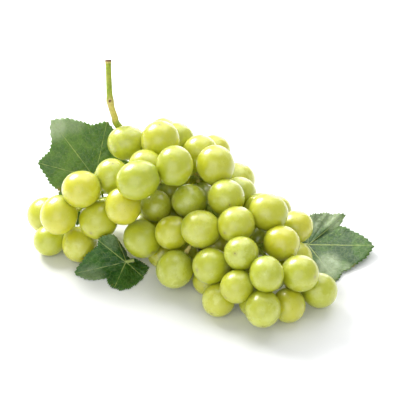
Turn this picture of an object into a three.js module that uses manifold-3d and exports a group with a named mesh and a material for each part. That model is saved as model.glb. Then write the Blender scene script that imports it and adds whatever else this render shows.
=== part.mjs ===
// Bunch of white grapes lying on a flat surface, with three vine leaves tucked under it.
// Millimetres, +Z up. The bunch runs along X, its cut stalk at the -X end and its tip at +X.
import * as THREE from "three";
import { mergeVertices } from "three/addons/utils/BufferGeometryUtils.js";
import Module from "manifold-3d";

const wasm = await Module();
wasm.setup();

// Clearances and the shared rule for pressed berries
const GAP = 0.3;
const PRESS = 1.3;
const FOOT_FLAT = 0.45;
const SMALLEST_STEP = 0.02;

// View in which the seen berries were laid out
const MM_PER_PIXEL = 0.625;
const MIDDLE_PIXEL = 200;
const VIEW_DISTANCE = 900;
const VIEW_RISE = THREE.MathUtils.degToRad(35);
const VIEW_CENTRE = new THREE.Vector3(0, 0, 40);
const TOWARD = new THREE.Vector3(0, -Math.cos(VIEW_RISE), Math.sin(VIEW_RISE));
const UPWARD = new THREE.Vector3(0, Math.sin(VIEW_RISE), Math.cos(VIEW_RISE));
const ACROSS = new THREE.Vector3(1, 0, 0);

// Turn about Z that brings the bunch's length along X
const TURN = THREE.MathUtils.degToRad(42.6);

// Berries
const BERRY_SIDES = { round: 8, high: 5 };
const FACET_ALLOWANCE = 1.07;
const STEM_END_STRETCH = 1.06;
const HIDDEN_SIZE = { least: 19.5, most: 22.5 };
const HIDDEN_TRIES = 24000;
const HIDDEN_MOST = 40;
const HIDDEN_COVER = 0.55;
const LEAST_TOUCH = 0.9;
const SEED = 66;

// Stalk
const RACHIS_RADIUS = { start: 2.2, end: 1.0 };
const KNUCKLE_SHARE = 0.122;
const SIDE_STEM_RADIUS = { start: 1.3, end: 0.9 };
const BERRY_STEM_RADIUS = { start: 0.9, end: 1.25 };
const BERRY_STEM_SINK = 2.6;
const STEM_DETOUR = 8;
const SIDE_STEM_SPACING = 15;
const SIDE_STEM_SPIRAL = THREE.MathUtils.degToRad(137.5);

// Leaves
const BLADE_THICKNESS = 0.8;
const BLADE_CLEARANCE = 1.3;
const LEAF_GIVE = 1.4;
const BLADE_STEPS = 60;
const BLADE_RINGS = [0.5, 1];
const TOOTH = { depth: 1.4, shape: [0, 1, 0.5] };
const LEAF_STEM_RADIUS = 1.2;

// Colours
const BERRY_COLOUR = 0xb9c546;
const STALK_COLOUR = 0x8f9a4e;
const LEAF_COLOUR = 0x4f7d33;

const point = (x, y, z) => new THREE.Vector3(x, y, z);

// A place given by its pixel in the view and its distance in front of the view's centre
function fromView(px, py, toward) {
  const scale = MM_PER_PIXEL * (1 - toward / VIEW_DISTANCE);
  return VIEW_CENTRE.clone()
    .addScaledVector(ACROSS, (px - MIDDLE_PIXEL) * scale)
    .addScaledVector(UPWARD, (MIDDLE_PIXEL - py) * scale)
    .addScaledVector(TOWARD, toward);
}

// The pixel and the distance of a place, the other way round
function toView(place) {
  const offset = place.clone().sub(VIEW_CENTRE);
  const toward = offset.dot(TOWARD);
  const scale = MM_PER_PIXEL * (1 - toward / VIEW_DISTANCE);
  return {
    px: MIDDLE_PIXEL + offset.dot(ACROSS) / scale,
    py: MIDDLE_PIXEL - offset.dot(UPWARD) / scale,
    toward,
    scale,
  };
}

// Berries seen in the view: pixel, diameter, and distance toward the eye.
// A loose one shows only a rim, so it may move in the view as well as in depth.
const SEEN = [
  // shoulder round the stalk
  { px: 127, py: 143, size: 23.8, toward: -16, oval: { angle: 0, ratio: 1.14 } },
  { px: 161, py: 141, size: 25.4, toward: -6 },
  { px: 163, py: 134, size: 21.0, toward: -34, loose: true },
  { px: 176, py: 140, size: 22.4, toward: -30, loose: true },
  { px: 146, py: 167, size: 21.8, toward: 8 },
  { px: 174.5, py: 166, size: 23.8, toward: 21, oval: { angle: 85, ratio: 1.1 } },
  { px: 138, py: 180, size: 25.4, toward: 29, oval: { angle: 20, ratio: 1.13 } },
  { px: 112, py: 176, size: 21.8, toward: 2 },
  // side wing at the left
  { px: 81, py: 188, size: 23.8, toward: 13 },
  { px: 59, py: 215, size: 24.2, toward: 2, oval: { angle: 70, ratio: 1.08 } },
  { px: 46, py: 214, size: 24.0, toward: -32, loose: true },
  { px: 49, py: 239, size: 20.6, toward: -16 },
  { px: 80, py: 244, size: 22.6, toward: -9 },
  { px: 99, py: 220, size: 25.0, toward: 2.5 },
  { px: 123, py: 206, size: 22.8, toward: 16 },
  // ridge
  { px: 200, py: 154, size: 23.6, toward: -12 },
  { px: 214, py: 152, size: 22.0, toward: -32, loose: true },
  { px: 215.5, py: 165, size: 24.4, toward: 7 },
  { px: 237, py: 180, size: 23.0, toward: -24, loose: true },
  { px: 239, py: 194, size: 22.4, toward: -5 },
  { px: 226, py: 197.5, size: 23.4, toward: 16 },
  { px: 260, py: 209, size: 21.0, toward: -3, loose: true },
  { px: 275, py: 212, size: 21.5, toward: -10, loose: true },
  { px: 268.5, py: 212.5, size: 23.6, toward: 18, oval: { angle: -20, ratio: 1.08 } },
  { px: 296, py: 227, size: 21.0, toward: 6 },
  // front face
  { px: 189.5, py: 201, size: 21.8, toward: 6 },
  { px: 156, py: 206, size: 20.2, toward: -4 },
  { px: 142.5, py: 239, size: 23.8, toward: 4 },
  { px: 172.5, py: 232.5, size: 21.4, toward: 6 },
  { px: 201, py: 229, size: 23.8, toward: 19 },
  { px: 236, py: 225, size: 23.0, toward: 29 },
  { px: 241.5, py: 253.5, size: 21.2, toward: 41 },
  { px: 211, py: 265.5, size: 22.6, toward: 30 },
  { px: 281.5, py: 243, size: 21.8, toward: 30 },
  { px: 258, py: 240, size: 20.0, toward: 5, loose: true },
  { px: 218, py: 243, size: 19.0, toward: 5, loose: true },
  // tip
  { px: 298, py: 257, size: 20.0, toward: 13, loose: true },
  { px: 299.5, py: 273.5, size: 22.8, toward: 44 },
  { px: 266.5, py: 274, size: 21.2, toward: 52 },
  { px: 237.5, py: 286.5, size: 20.4, toward: 47 },
  { px: 262.5, py: 308.5, size: 22.0, toward: 44 },
  // foot, on the surface or just above it
  { px: 162, py: 259, size: 18.0, toward: 0, loose: true },
  { px: 184, py: 257, size: 18.5, toward: -1, loose: true },
  { px: 175, py: 269, size: 23.4, toward: 12 },
  { px: 208, py: 280, size: 18.6, toward: 16, loose: true },
  { px: 219, py: 300, size: 20.6, toward: 34 },
  { px: 253, py: 302, size: 17.4, toward: 34, loose: true },
  { px: 289, py: 304, size: 20.6, toward: 38 },
  { px: 319, py: 289, size: 22.0, toward: 27.5 },
];

// Small berry seen deep in the gap between three larger ones, placed after all others
const DEEP_BERRY = { px: 200, py: 178, size: 17.2, toward: -34 };

// Main stem inside the bunch, from the cut end to the tip, and the stem of the side wing
const PEDUNCLE = [[108.3, 60, -10], [109, 80, -10], [110.3, 101, -10], [114.5, 116, -17], [121, 129, -32]];
const RACHIS = [
  point(-24, 26, 47), point(-2, 1, 41), point(24, -24, 33), point(46, -46, 23), point(54, -54, 17),
];
const WING = [point(-30, 32, 49), point(-56, 22, 37), point(-82, 5, 24)];

// Space that the hidden berries may take: its middle line, and its half-height from stalk to tip
const BODY_LINE = [
  point(-42, 42, 34), point(-22, 26, 31), point(0, 4, 29), point(26, -22, 25), point(50, -46, 17),
];
const BODY = { width: 1.3, start: 24, full: 31, tip: 14 };
const WING_BODY = { width: 1.0, start: 20, full: 20, tip: 13 };
const NEAR_SURFACE = 1.9;

// Repeatable random numbers from 0 to 1
function seededDraw(seed) {
  let state = seed;
  return () => {
    state = (state * 1664525 + 1013904223) % 4294967296;
    return state / 4294967296;
  };
}

function radiusOf(berry) {
  return berry.size / 2;
}

// How far a berry gives way along a direction: freely in depth, little across the view
function giving(berry, direction) {
  const inDepth = TOWARD.clone().multiplyScalar(direction.dot(TOWARD));
  const inView = direction.clone().sub(inDepth);
  return inDepth.multiplyScalar(berry.freeDepth).addScaledVector(inView, berry.freeView);
}

function keepOnSurface(berry) {
  const lowest = radiusOf(berry) - FOOT_FLAT;
  if (berry.place.z < lowest) berry.place.z = lowest;
}

// A berry that hangs just above the surface lies on it
function restLow(berry, range) {
  const lowest = radiusOf(berry) - FOOT_FLAT;
  if (berry.place.z < lowest + range) berry.place.z = lowest;
}

// Draws each berry back to its line of sight
function returnToSight(berry, share) {
  if (!berry.sight) return;
  const { toward } = toView(berry.place);
  const wanted = fromView(berry.sight.px, berry.sight.py, toward);
  berry.place.lerp(wanted, share);
}

// Pushes crossing berries apart, round by round, and holds each near its place in the view
function settle(berries, rounds) {
  for (let round = 0; round < rounds; round++) {
    for (const berry of berries) returnToSight(berry, berry.hold);
    for (let i = 0; i < berries.length; i++) {
      for (let j = i + 1; j < berries.length; j++) pushApart(berries[i], berries[j]);
    }
    for (const berry of berries) keepOnSurface(berry);
  }
}

function pushApart(first, second) {
  const between = second.place.clone().sub(first.place);
  const distance = between.length();
  const crossing = radiusOf(first) + radiusOf(second) - PRESS - distance;
  if (crossing <= 0) return;
  const direction = between.divideScalar(distance);
  const moveFirst = giving(first, direction);
  const moveSecond = giving(second, direction);
  const total = moveFirst.dot(direction) + moveSecond.dot(direction);
  first.place.addScaledVector(moveFirst, -crossing / total);
  second.place.addScaledVector(moveSecond, crossing / total);
}

function seenBerries() {
  return SEEN.map((row) => ({
    ...row,
    sight: { px: row.px, py: row.py },
    place: fromView(row.px, row.py, row.toward),
    freeDepth: 1,
    freeView: row.loose ? 0.5 : 0.12,
    hold: row.loose ? 0.02 : 0.06,
  }));
}

// The nearest point of a run of straight stretches, and how far along the run it lies (0 to 1)
function nearestOnRun(run, place) {
  let best = null;
  for (let i = 0; i + 1 < run.length; i++) {
    const along = run[i + 1].clone().sub(run[i]);
    const share = THREE.MathUtils.clamp(place.clone().sub(run[i]).dot(along) / along.lengthSq(), 0, 1);
    const foot = run[i].clone().addScaledVector(along, share);
    const distance = foot.distanceTo(place);
    if (!best || distance < best.distance) best = { foot, distance, along: (i + share) / (run.length - 1) };
  }
  return best;
}

function halfHeight(body, along) {
  const rise = THREE.MathUtils.smoothstep(along, 0, 0.35);
  const fall = THREE.MathUtils.smoothstep(along, 0.45, 1);
  return body.start + (body.full - body.start) * rise - (body.full - body.tip) * fall;
}

// How deep a place lies in the space of the hidden berries, below 1 inside it
function depthInBody(run, body, place) {
  const near = nearestOnRun(run, place);
  const offset = place.clone().sub(near.foot);
  const reach = Math.hypot(offset.x / body.width, offset.y / body.width, offset.z);
  return { share: reach / halfHeight(body, near.along), distance: near.distance, foot: near.foot };
}

// The part of a disc in the view that nearer berries cover, counting only enclosed gaps as open
function coveredShare(place, radius, berries) {
  const seen = toView(place);
  const discs = berries.map((berry) => ({ ...toView(berry.place), radius: radiusOf(berry) }));
  let covered = 0;
  let count = 0;
  for (const ring of [0.35, 0.7, 1]) {
    for (let step = 0; step < 10; step++) {
      const angle = (step / 10) * 2 * Math.PI;
      const px = seen.px + (Math.cos(angle) * radius * ring) / seen.scale;
      const py = seen.py + (Math.sin(angle) * radius * ring) / seen.scale;
      count++;
      if (discs.some((disc) => disc.toward > seen.toward && coversPixel(disc, px, py))) covered++;
      else if (!enclosed(discs, px, py)) return 0;
    }
  }
  return covered / count;
}

function coversPixel(disc, px, py) {
  return Math.hypot(px - disc.px, py - disc.py) < disc.radius / disc.scale;
}

// A gap is enclosed where a short walk in each of eight directions meets a berry
function enclosed(discs, px, py) {
  const walk = [3, 7, 11, 15, 19];
  for (let step = 0; step < 8; step++) {
    const angle = (step / 8) * 2 * Math.PI;
    const meets = walk.some((length) =>
      discs.some((disc) => coversPixel(disc, px + Math.cos(angle) * length, py + Math.sin(angle) * length)));
    if (!meets) return false;
  }
  return true;
}

// Places for berries behind the seen ones, the deepest first
function hiddenCandidates(draw) {
  const candidates = [];
  for (let n = 0; n < HIDDEN_TRIES; n++) {
    const size = HIDDEN_SIZE.least + (HIDDEN_SIZE.most - HIDDEN_SIZE.least) * draw();
    const height = Math.max(0, 72 * draw() - 8);
    const place = point(-105 + 190 * draw(), -85 + 165 * draw(), size / 2 - FOOT_FLAT + height);
    const near = nearestStem(place);
    if (near.share > 1 || near.distance < size / 2 + RACHIS_RADIUS.start) continue;
    if (!beforeLeaf(LEAVES[0], place, size / 2)) continue;
    const rank = near.share - (height === 0 ? 0.3 : 0);
    candidates.push({ place, size, rank, freeDepth: 1, freeView: 1, hold: 0 });
  }
  return candidates.sort((a, b) => a.rank - b.rank);
}

// Whether a berry lies before a leaf that stands behind the bunch, or presses it back a little
function beforeLeaf(leaf, place, radius) {
  const seen = toView(place);
  const dx = seen.px - leaf.centre.px;
  const dy = leaf.centre.py - seen.py;
  if (Math.hypot(dx, dy) > leaf.span) return true;
  return seen.toward - radius + LEAF_GIVE > guideDepth(leaf, dx, dy);
}

function nearestStem(place) {
  const main = depthInBody(BODY_LINE, BODY, place);
  const wing = depthInBody(WING, WING_BODY, place);
  const stalk = nearestOnRun([stalkEntry(), ...RACHIS], place);
  const nearest = main.share < wing.share ? main : wing;
  return { ...nearest, distance: Math.min(stalk.distance, wing.distance) };
}

// Moves a berry toward the stem it hangs from until it meets a neighbour
function drawInward(berry, others) {
  for (let step = 0; step < 25; step++) {
    const near = nearestStem(berry.place);
    const lowest = radiusOf(berry) - FOOT_FLAT;
    const next = berry.place.clone().addScaledVector(near.foot.sub(berry.place).normalize(), 0.6);
    next.z = Math.max(lowest, next.z);
    const blocked = others.some((other) => crosses({ ...berry, place: next }, other));
    if (blocked || near.distance < radiusOf(berry) + RACHIS_RADIUS.start + 1) return;
    berry.place.copy(next);
  }
}

// Fills the bunch behind the seen berries
function hiddenBerries(seen) {
  const kept = [];
  for (const candidate of hiddenCandidates(seededDraw(SEED))) {
    if (kept.length >= HIDDEN_MOST) break;
    const others = [...seen, ...kept];
    if (others.some((other) => crosses(candidate, other))) continue;
    drawInward(candidate, others);
    if (coveredShare(candidate.place, radiusOf(candidate), others) < HIDDEN_COVER) continue;
    kept.push(candidate);
  }
  return kept;
}

function crosses(first, second) {
  return first.place.distanceTo(second.place) < radiusOf(first) + radiusOf(second) - PRESS * 0.9;
}

function stalkEntry() {
  return fromView(...PEDUNCLE[PEDUNCLE.length - 1]);
}

// The berries that hang together by touching, as lists of numbers
function touchingGroups(berries) {
  const group = berries.map((_, index) => index);
  const leader = (index) => (group[index] === index ? index : leader(group[index]));
  forEachPair(berries, (i, j, gap) => {
    if (gap < -LEAST_TOUCH) group[leader(i)] = leader(j);
  });
  return berries.map((_, index) => leader(index));
}

function forEachPair(berries, act) {
  for (let i = 0; i < berries.length; i++) {
    for (let j = i + 1; j < berries.length; j++) {
      const reach = radiusOf(berries[i]) + radiusOf(berries[j]);
      act(i, j, berries[i].place.distanceTo(berries[j].place) - reach);
    }
  }
}

// Brings groups that hang apart together at their narrowest gap
function closeUp(berries) {
  for (let round = 0; round < 120; round++) {
    const leaders = touchingGroups(berries);
    let narrowest = null;
    forEachPair(berries, (i, j, gap) => {
      if (leaders[i] !== leaders[j] && (!narrowest || gap < narrowest.gap)) narrowest = { i, j, gap };
    });
    if (!narrowest) return;
    drawPair(berries[narrowest.i], berries[narrowest.j], narrowest.gap + LEAST_TOUCH + 0.25);
    for (let i = 0; i < berries.length; i++) {
      for (let j = i + 1; j < berries.length; j++) pushApart(berries[i], berries[j]);
    }
    for (const berry of berries) keepOnSurface(berry);
  }
}

function drawPair(first, second, amount) {
  const direction = second.place.clone().sub(first.place).normalize();
  const moveFirst = giving(first, direction);
  const moveSecond = giving(second, direction);
  const total = moveFirst.dot(direction) + moveSecond.dot(direction);
  first.place.addScaledVector(moveFirst, amount / total);
  second.place.addScaledVector(moveSecond, -amount / total);
}

function allBerries() {
  const seen = seenBerries();
  settle(seen, 400);
  const berries = [...seen, ...hiddenBerries(seen)];
  for (const berry of berries) restLow(berry, NEAR_SURFACE);
  closeUp(berries);
  for (const berry of berries) restLow(berry, NEAR_SURFACE / 3);
  const { px, py, toward } = DEEP_BERRY;
  return [...berries, { ...DEEP_BERRY, place: fromView(px, py, toward) }];
}

// Closed solid from a geometry, its faces merged
function solidOf(geometry) {
  geometry.deleteAttribute("normal");
  geometry.deleteAttribute("uv");
  const merged = mergeVertices(geometry, 1e-4);
  const mesh = new wasm.Mesh({
    numProp: 3,
    vertProperties: new Float32Array(merged.attributes.position.array),
    triVerts: new Uint32Array(merged.index.array),
  });
  return new wasm.Manifold(mesh);
}

function geometryOf(positions, indices) {
  const geometry = new THREE.BufferGeometry();
  geometry.setAttribute("position", new THREE.Float32BufferAttribute(positions, 3));
  geometry.setIndex(indices);
  return geometry;
}

// A cut can leave crumbs too small to matter, so only the main body is kept
function largestBody(solid) {
  const bodies = solid.simplify(SMALLEST_STEP).decompose().sort((a, b) => b.volume() - a.volume());
  if (bodies.length > 1 && bodies[1].volume() > 1) throw new Error("a body of its own was cut off");
  return bodies[0];
}

// Tapered tube along a curve, closed at both ends, or the same grown by a clearance
function tube(curve, segments, sides, radiusAt, extra = 0) {
  const frames = curve.computeFrenetFrames(segments, false);
  const positions = [];
  const indices = [];
  for (let ring = 0; ring <= segments; ring++) {
    const end = ring === 0 ? -1 : ring === segments ? 1 : 0;
    const centre = curve.getPointAt(ring / segments).addScaledVector(frames.tangents[ring], end * extra);
    const radius = radiusAt(ring / segments) + extra;
    for (let side = 0; side < sides; side++) {
      const angle = (side / sides) * 2 * Math.PI;
      const rim = centre.clone()
        .addScaledVector(frames.normals[ring], Math.cos(angle) * radius)
        .addScaledVector(frames.binormals[ring], Math.sin(angle) * radius);
      positions.push(...rim.toArray());
    }
  }
  for (let ring = 0; ring < segments; ring++) {
    for (let side = 0; side < sides; side++) {
      const a = ring * sides + side;
      const b = ring * sides + ((side + 1) % sides);
      indices.push(a, b, b + sides, a, b + sides, a + sides);
    }
  }
  const last = segments * sides;
  for (let side = 1; side + 1 < sides; side++) {
    indices.push(0, side + 1, side, last, last + side, last + side + 1);
  }
  return solidOf(geometryOf(positions, indices));
}

function straightTube(from, to, sides, radii, extra) {
  const radiusAt = (share) => radii.start + (radii.end - radii.start) * share;
  return tube(new THREE.LineCurve3(from, to), 1, sides, radiusAt, extra);
}

function mainStemCurve() {
  const outside = PEDUNCLE.map((row) => fromView(...row));
  return new THREE.CatmullRomCurve3([...outside, ...RACHIS], false, "catmullrom", 0.5);
}

function swelling(share, middle, width, height) {
  return height * Math.exp(-(((share - middle) / width) ** 2));
}

// Main stem: cut end a little flared, knuckle where a tendril broke off, then the taper to the tip
function mainStem(curve, extra) {
  const radiusAt = (share) => {
    const outside = THREE.MathUtils.smoothstep(share, 0, 0.3);
    const inside = THREE.MathUtils.smoothstep(share, 0.35, 1);
    const taper = 1.75 + 0.55 * outside + (RACHIS_RADIUS.end - 2.3) * inside;
    return taper + swelling(share, 0, 0.012, 0.3) + swelling(share, KNUCKLE_SHARE, 0.012, 0.5);
  };
  return tube(curve, 26, 6, radiusAt, extra);
}

// Side stems leave the main stem in a spiral, leaning toward the tip
function sideStems(curve) {
  const stems = [];
  const length = curve.getLength();
  for (let along = 0.46 * length, n = 0; along < 0.985 * length; along += SIDE_STEM_SPACING * 0.62, n++) {
    const share = along / length;
    stems.push(sideStem(curve.getPointAt(share), curve.getTangentAt(share), n, 19 - 8 * share));
  }
  const wing = new THREE.CatmullRomCurve3(WING);
  for (let n = 0; n < 4; n++) {
    const share = 0.3 + 0.22 * n;
    stems.push(sideStem(wing.getPointAt(share), wing.getTangentAt(share), n, 9));
  }
  return stems;
}

function sideStem(start, forward, number, length) {
  const flat = new THREE.Vector3().crossVectors(forward, new THREE.Vector3(0, 0, 1)).normalize();
  const outward = flat.applyAxisAngle(forward, number * SIDE_STEM_SPIRAL + 0.6);
  const end = start.clone().addScaledVector(outward, length).addScaledVector(forward, length * 0.45);
  end.z = Math.max(end.z, 4);
  return { start, end };
}

// The stalk's place nearest to a berry, weighed against berries that stand between
function stemRoot(berry, berries, stems, curve) {
  const places = [];
  for (const stem of stems) {
    for (const share of [0.45, 0.75, 1]) places.push(stem.start.clone().lerp(stem.end, share));
  }
  for (let share = 0.45; share <= 1; share += 0.03) places.push(curve.getPointAt(share));
  const wing = new THREE.CatmullRomCurve3(WING);
  for (let share = 0.1; share <= 1; share += 0.1) places.push(wing.getPointAt(share));
  let best = null;
  for (const place of places) {
    const cost = place.distanceTo(berry.place) + crossingCost(place, berry, berries);
    if (!best || cost < best.cost) best = { place, cost };
  }
  return best.place;
}

function crossingCost(from, berry, berries) {
  let cost = 0;
  const run = [from, berry.place];
  for (const other of berries) {
    if (other === berry) continue;
    const sunk = radiusOf(other) - nearestOnRun(run, other.place).distance;
    if (sunk > 0) cost += sunk * STEM_DETOUR;
  }
  return cost;
}

// A berry's own stem, from the stalk to a little way inside the berry
function berryStem(berry, extra) {
  const inward = berry.root.clone().sub(berry.place).normalize();
  const reach = radiusOf(berry) * stretchOf(berry) - BERRY_STEM_SINK;
  const end = berry.place.clone().addScaledVector(inward, reach);
  return straightTube(berry.root, end, 3, BERRY_STEM_RADIUS, extra);
}

function stretchOf(berry) {
  return berry.oval ? 1 : STEM_END_STRETCH;
}

// All of the stalk, or the same grown by a clearance
function stalkSolid(berries, curve, stems, extra) {
  const solids = [mainStem(curve, extra)];
  solids.push(tube(new THREE.CatmullRomCurve3(WING), 5, 5, (share) => 1.8 - 0.8 * share, extra));
  for (const stem of stems) solids.push(straightTube(stem.start, stem.end, 4, SIDE_STEM_RADIUS, extra));
  for (const berry of berries) solids.push(berryStem(berry, extra));
  return largestBody(wasm.Manifold.union(solids));
}

// The long axis of a berry and how far it is drawn out along it
function longAxis(berry) {
  if (!berry.oval) return { axis: berry.root.clone().sub(berry.place).normalize(), ratio: STEM_END_STRETCH };
  const angle = THREE.MathUtils.degToRad(berry.oval.angle);
  const axis = ACROSS.clone().multiplyScalar(Math.cos(angle)).addScaledVector(UPWARD, Math.sin(angle));
  return { axis, ratio: berry.oval.ratio };
}

// Faceted berry, drawn out along its long axis and flat where it rests on the surface
function berrySolid(berry) {
  const { axis, ratio } = longAxis(berry);
  const radius = (radiusOf(berry) * FACET_ALLOWANCE) / Math.sqrt(ratio);
  const geometry = new THREE.SphereGeometry(radius, BERRY_SIDES.round, BERRY_SIDES.high);
  geometry.scale(1, ratio, 1);
  geometry.applyQuaternion(new THREE.Quaternion().setFromUnitVectors(point(0, 1, 0), axis));
  geometry.translate(...berry.place.toArray());
  return solidOf(geometry);
}

// All berries pressed together, with holes for the stalk
function berriesSolid(berries, curve, stems) {
  const together = wasm.Manifold.union(berries.map(berrySolid)).trimByPlane([0, 0, 1], 0);
  return largestBody(together.subtract(stalkSolid(berries, curve, stems, GAP)));
}

// A leaf's outline as seen from the front: corners round the place where its veins meet,
// each an angle in degrees and a reach in pixels.
// depth gives the leaf's distance toward the eye before it is laid against the berries.
const LEAVES = [
  {
    name: "leaf_back",
    centre: { px: 95, py: 178 },
    middle: 127,
    stem: 18,
    span: 78,
    corners: [
      [17, 38], [45, 40], [60, 50], [78, 59], [95, 54.5], [105, 61], [127, 75], [139, 59], [150, 54],
      [164, 61], [176, 52], [200, 40], [222, 46], [243, 54], [268, 46], [287, 32], [307, 6], [340, 22],
    ],
    depth: (along, aside) => -42 + 0.03 * along - 0.05 * Math.abs(aside),
  },
  {
    name: "leaf_front",
    centre: { px: 126, py: 262 },
    middle: 192.8,
    stem: 8,
    corners: [
      [8, 13], [40, 5], [80, 6], [102, 17], [113, 30], [122, 34], [141, 37.5], [151, 33.5], [164, 39],
      [180, 46], [192.8, 54.5], [202, 46], [211, 36], [220, 26], [232, 30], [258, 30], [295, 25.5],
      [329, 23.5], [346, 25],
    ],
    depth: (along, aside) =>
      -12 + 0.2 * along + 0.64 * Math.abs(aside) * THREE.MathUtils.smoothstep(along, -8, 10),
  },
  {
    name: "leaf_side",
    centre: { px: 308, py: 245 },
    middle: -0.8,
    stem: 14,
    corners: [
      [-0.8, 68], [8, 58], [18, 48], [25, 43], [31, 38.5], [39, 50], [52, 41], [73, 34.5], [94, 30],
      [130, 24],
      [180, 6], [235, 20], [268, 27], [292, 34], [306, 47.5], [322, 45.5], [334, 51], [347, 60],
    ],
    depth: null,
    fold: { angle: 25.5, rise: 0.24 },
  },
];

// The reach of a leaf's outline at an angle, with its teeth
function outlineReach(leaf, degrees, tooth) {
  const turned = (angle) => (((angle - leaf.corners[0][0]) % 360) + 360) % 360;
  const target = turned(degrees);
  const count = leaf.corners.length;
  for (let i = 0; i < count; i++) {
    const from = turned(leaf.corners[i][0]);
    const to = i + 1 < count ? turned(leaf.corners[i + 1][0]) : 360;
    if (target < from || target > to) continue;
    const share = (target - from) / (to - from);
    const next = leaf.corners[(i + 1) % count][1];
    const reach = leaf.corners[i][1] + (next - leaf.corners[i][1]) * share;
    return reach - (reach > 12 ? (TOOTH.depth / MM_PER_PIXEL) * (1 - TOOTH.shape[tooth]) : 0);
  }
  return leaf.corners[0][1];
}

// The least distance toward the eye at which a place in the view is a height above the surface
function surfaceDepth(py, height) {
  const up = (MIDDLE_PIXEL - py) * MM_PER_PIXEL;
  const start = VIEW_CENTRE.z + up * UPWARD.z;
  return (height - start) / (TOWARD.z - (up * UPWARD.z) / VIEW_DISTANCE);
}

// A leaf's distance toward the eye before it is laid against the berries
function guideDepth(leaf, dx, dy) {
  const middle = THREE.MathUtils.degToRad(leaf.fold ? leaf.fold.angle : leaf.middle);
  const along = dx * Math.cos(middle) + dy * Math.sin(middle);
  const aside = -dx * Math.sin(middle) + dy * Math.cos(middle);
  if (leaf.depth) return leaf.depth(along, aside);
  return surfaceDepth(leaf.centre.py - dy, 1.6 + leaf.fold.rise * Math.abs(aside));
}

// Keeps one place of a leaf clear of the surface and of the berries before or behind it
function clearDepth(place, berries, thickness) {
  let depth = place.depth;
  for (const berry of berries) {
    const disc = toView(berry.place);
    const reach = radiusOf(berry) * FACET_ALLOWANCE + BLADE_CLEARANCE + (thickness - BLADE_THICKNESS) / 2;
    const offset = Math.hypot(place.px - disc.px, place.py - disc.py) * disc.scale;
    if (offset >= reach) continue;
    const half = Math.sqrt(reach * reach - offset * offset);
    if (place.guide > disc.toward) depth = Math.max(depth, disc.toward + half);
    else depth = Math.min(depth, disc.toward - half);
  }
  return Math.max(depth, surfaceDepth(place.py, thickness / 2 + 0.15));
}

// Rings of places round the leaf's centre, laid against what they touch and smoothed between
function layLeaf(leaf, berries) {
  const places = [leafPlace(leaf, 0, 0)];
  for (const ring of BLADE_RINGS) {
    for (let step = 0; step < BLADE_STEPS; step++) {
      const degrees = (step / BLADE_STEPS) * 360;
      const reach = outlineReach(leaf, degrees, step % TOOTH.shape.length) * ring;
      const angle = THREE.MathUtils.degToRad(degrees);
      places.push(leafPlace(leaf, Math.cos(angle) * reach, Math.sin(angle) * reach));
    }
  }
  for (let round = 0; round < 80; round++) {
    for (const place of places) place.depth = clearDepth(place, berries, BLADE_THICKNESS);
    if (round === 79) break;
    const depths = places.map((place) => place.depth);
    places.forEach((place, index) => {
      const near = neighboursOf(index);
      const mean = near.reduce((sum, other) => sum + depths[other], 0) / near.length;
      place.depth = 0.42 * depths[index] + 0.5 * mean + 0.08 * place.guide;
    });
  }
  return places;
}

function leafPlace(leaf, dx, dy) {
  const guide = guideDepth(leaf, dx, dy);
  return { px: leaf.centre.px + dx, py: leaf.centre.py - dy, guide, depth: guide };
}

// Places beside one place of the blade: along its ring, and on the rings inside and outside it
function neighboursOf(index) {
  if (index === 0) return Array.from({ length: BLADE_STEPS }, (_, step) => 1 + step);
  const ring = Math.floor((index - 1) / BLADE_STEPS);
  const step = (index - 1) % BLADE_STEPS;
  const first = 1 + ring * BLADE_STEPS;
  const near = [first + ((step + 1) % BLADE_STEPS), first + ((step + BLADE_STEPS - 1) % BLADE_STEPS)];
  near.push(ring === 0 ? 0 : index - BLADE_STEPS);
  if (ring + 1 < BLADE_RINGS.length) near.push(index + BLADE_STEPS);
  return near;
}

function bladeFaces() {
  const faces = [];
  for (let step = 0; step < BLADE_STEPS; step++) {
    const next = (step + 1) % BLADE_STEPS;
    faces.push([0, 1 + step, 1 + next]);
    for (let ring = 1; ring < BLADE_RINGS.length; ring++) {
      const inner = 1 + (ring - 1) * BLADE_STEPS;
      const outer = inner + BLADE_STEPS;
      faces.push([inner + step, outer + step, outer + next], [inner + step, outer + next, inner + next]);
    }
  }
  return faces;
}

// Blade of even thickness: the same triangles on both faces, joined round the edge
function bladeSolid(middle) {
  const faces = bladeFaces();
  const sheet = geometryOf(middle.flatMap((place) => place.toArray()), faces.flat());
  sheet.computeVertexNormals();
  const normals = sheet.attributes.normal;
  const positions = [];
  for (const side of [0.5, -0.5]) {
    middle.forEach((place, index) => {
      const normal = point(normals.getX(index), normals.getY(index), normals.getZ(index));
      positions.push(...place.clone().addScaledVector(normal, side * BLADE_THICKNESS).toArray());
    });
  }
  const count = middle.length;
  const edge = count - BLADE_STEPS;
  const indices = faces.flat();
  for (const [a, b, c] of faces) indices.push(a + count, c + count, b + count);
  for (let step = 0; step < BLADE_STEPS; step++) {
    const a = edge + step;
    const b = edge + ((step + 1) % BLADE_STEPS);
    indices.push(a, a + count, b + count, a, b + count, b);
  }
  return solidOf(geometryOf(positions, indices));
}

// Leaf stem, leaving the blade opposite its middle lobe
function leafStem(leaf, start, berries) {
  const away = THREE.MathUtils.degToRad(leaf.middle + 180);
  const places = [0, leaf.stem / 2, leaf.stem].map((reach) => {
    const place = leafPlace(leaf, Math.cos(away) * reach, Math.sin(away) * reach);
    const guide = start.depth - 0.15 * reach;
    return { ...place, depth: clearDepth({ ...place, guide, depth: guide }, berries, 2 * LEAF_STEM_RADIUS) };
  });
  const points = places.map((place) => fromView(place.px, place.py, place.depth));
  return tube(new THREE.CatmullRomCurve3(points), 4, 6, () => LEAF_STEM_RADIUS);
}

function leafSolid(leaf, berries) {
  const places = layLeaf(leaf, berries);
  const middle = places.map((place) => fromView(place.px, place.py, place.depth));
  return bladeSolid(middle).add(leafStem(leaf, places[0], berries));
}

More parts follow.
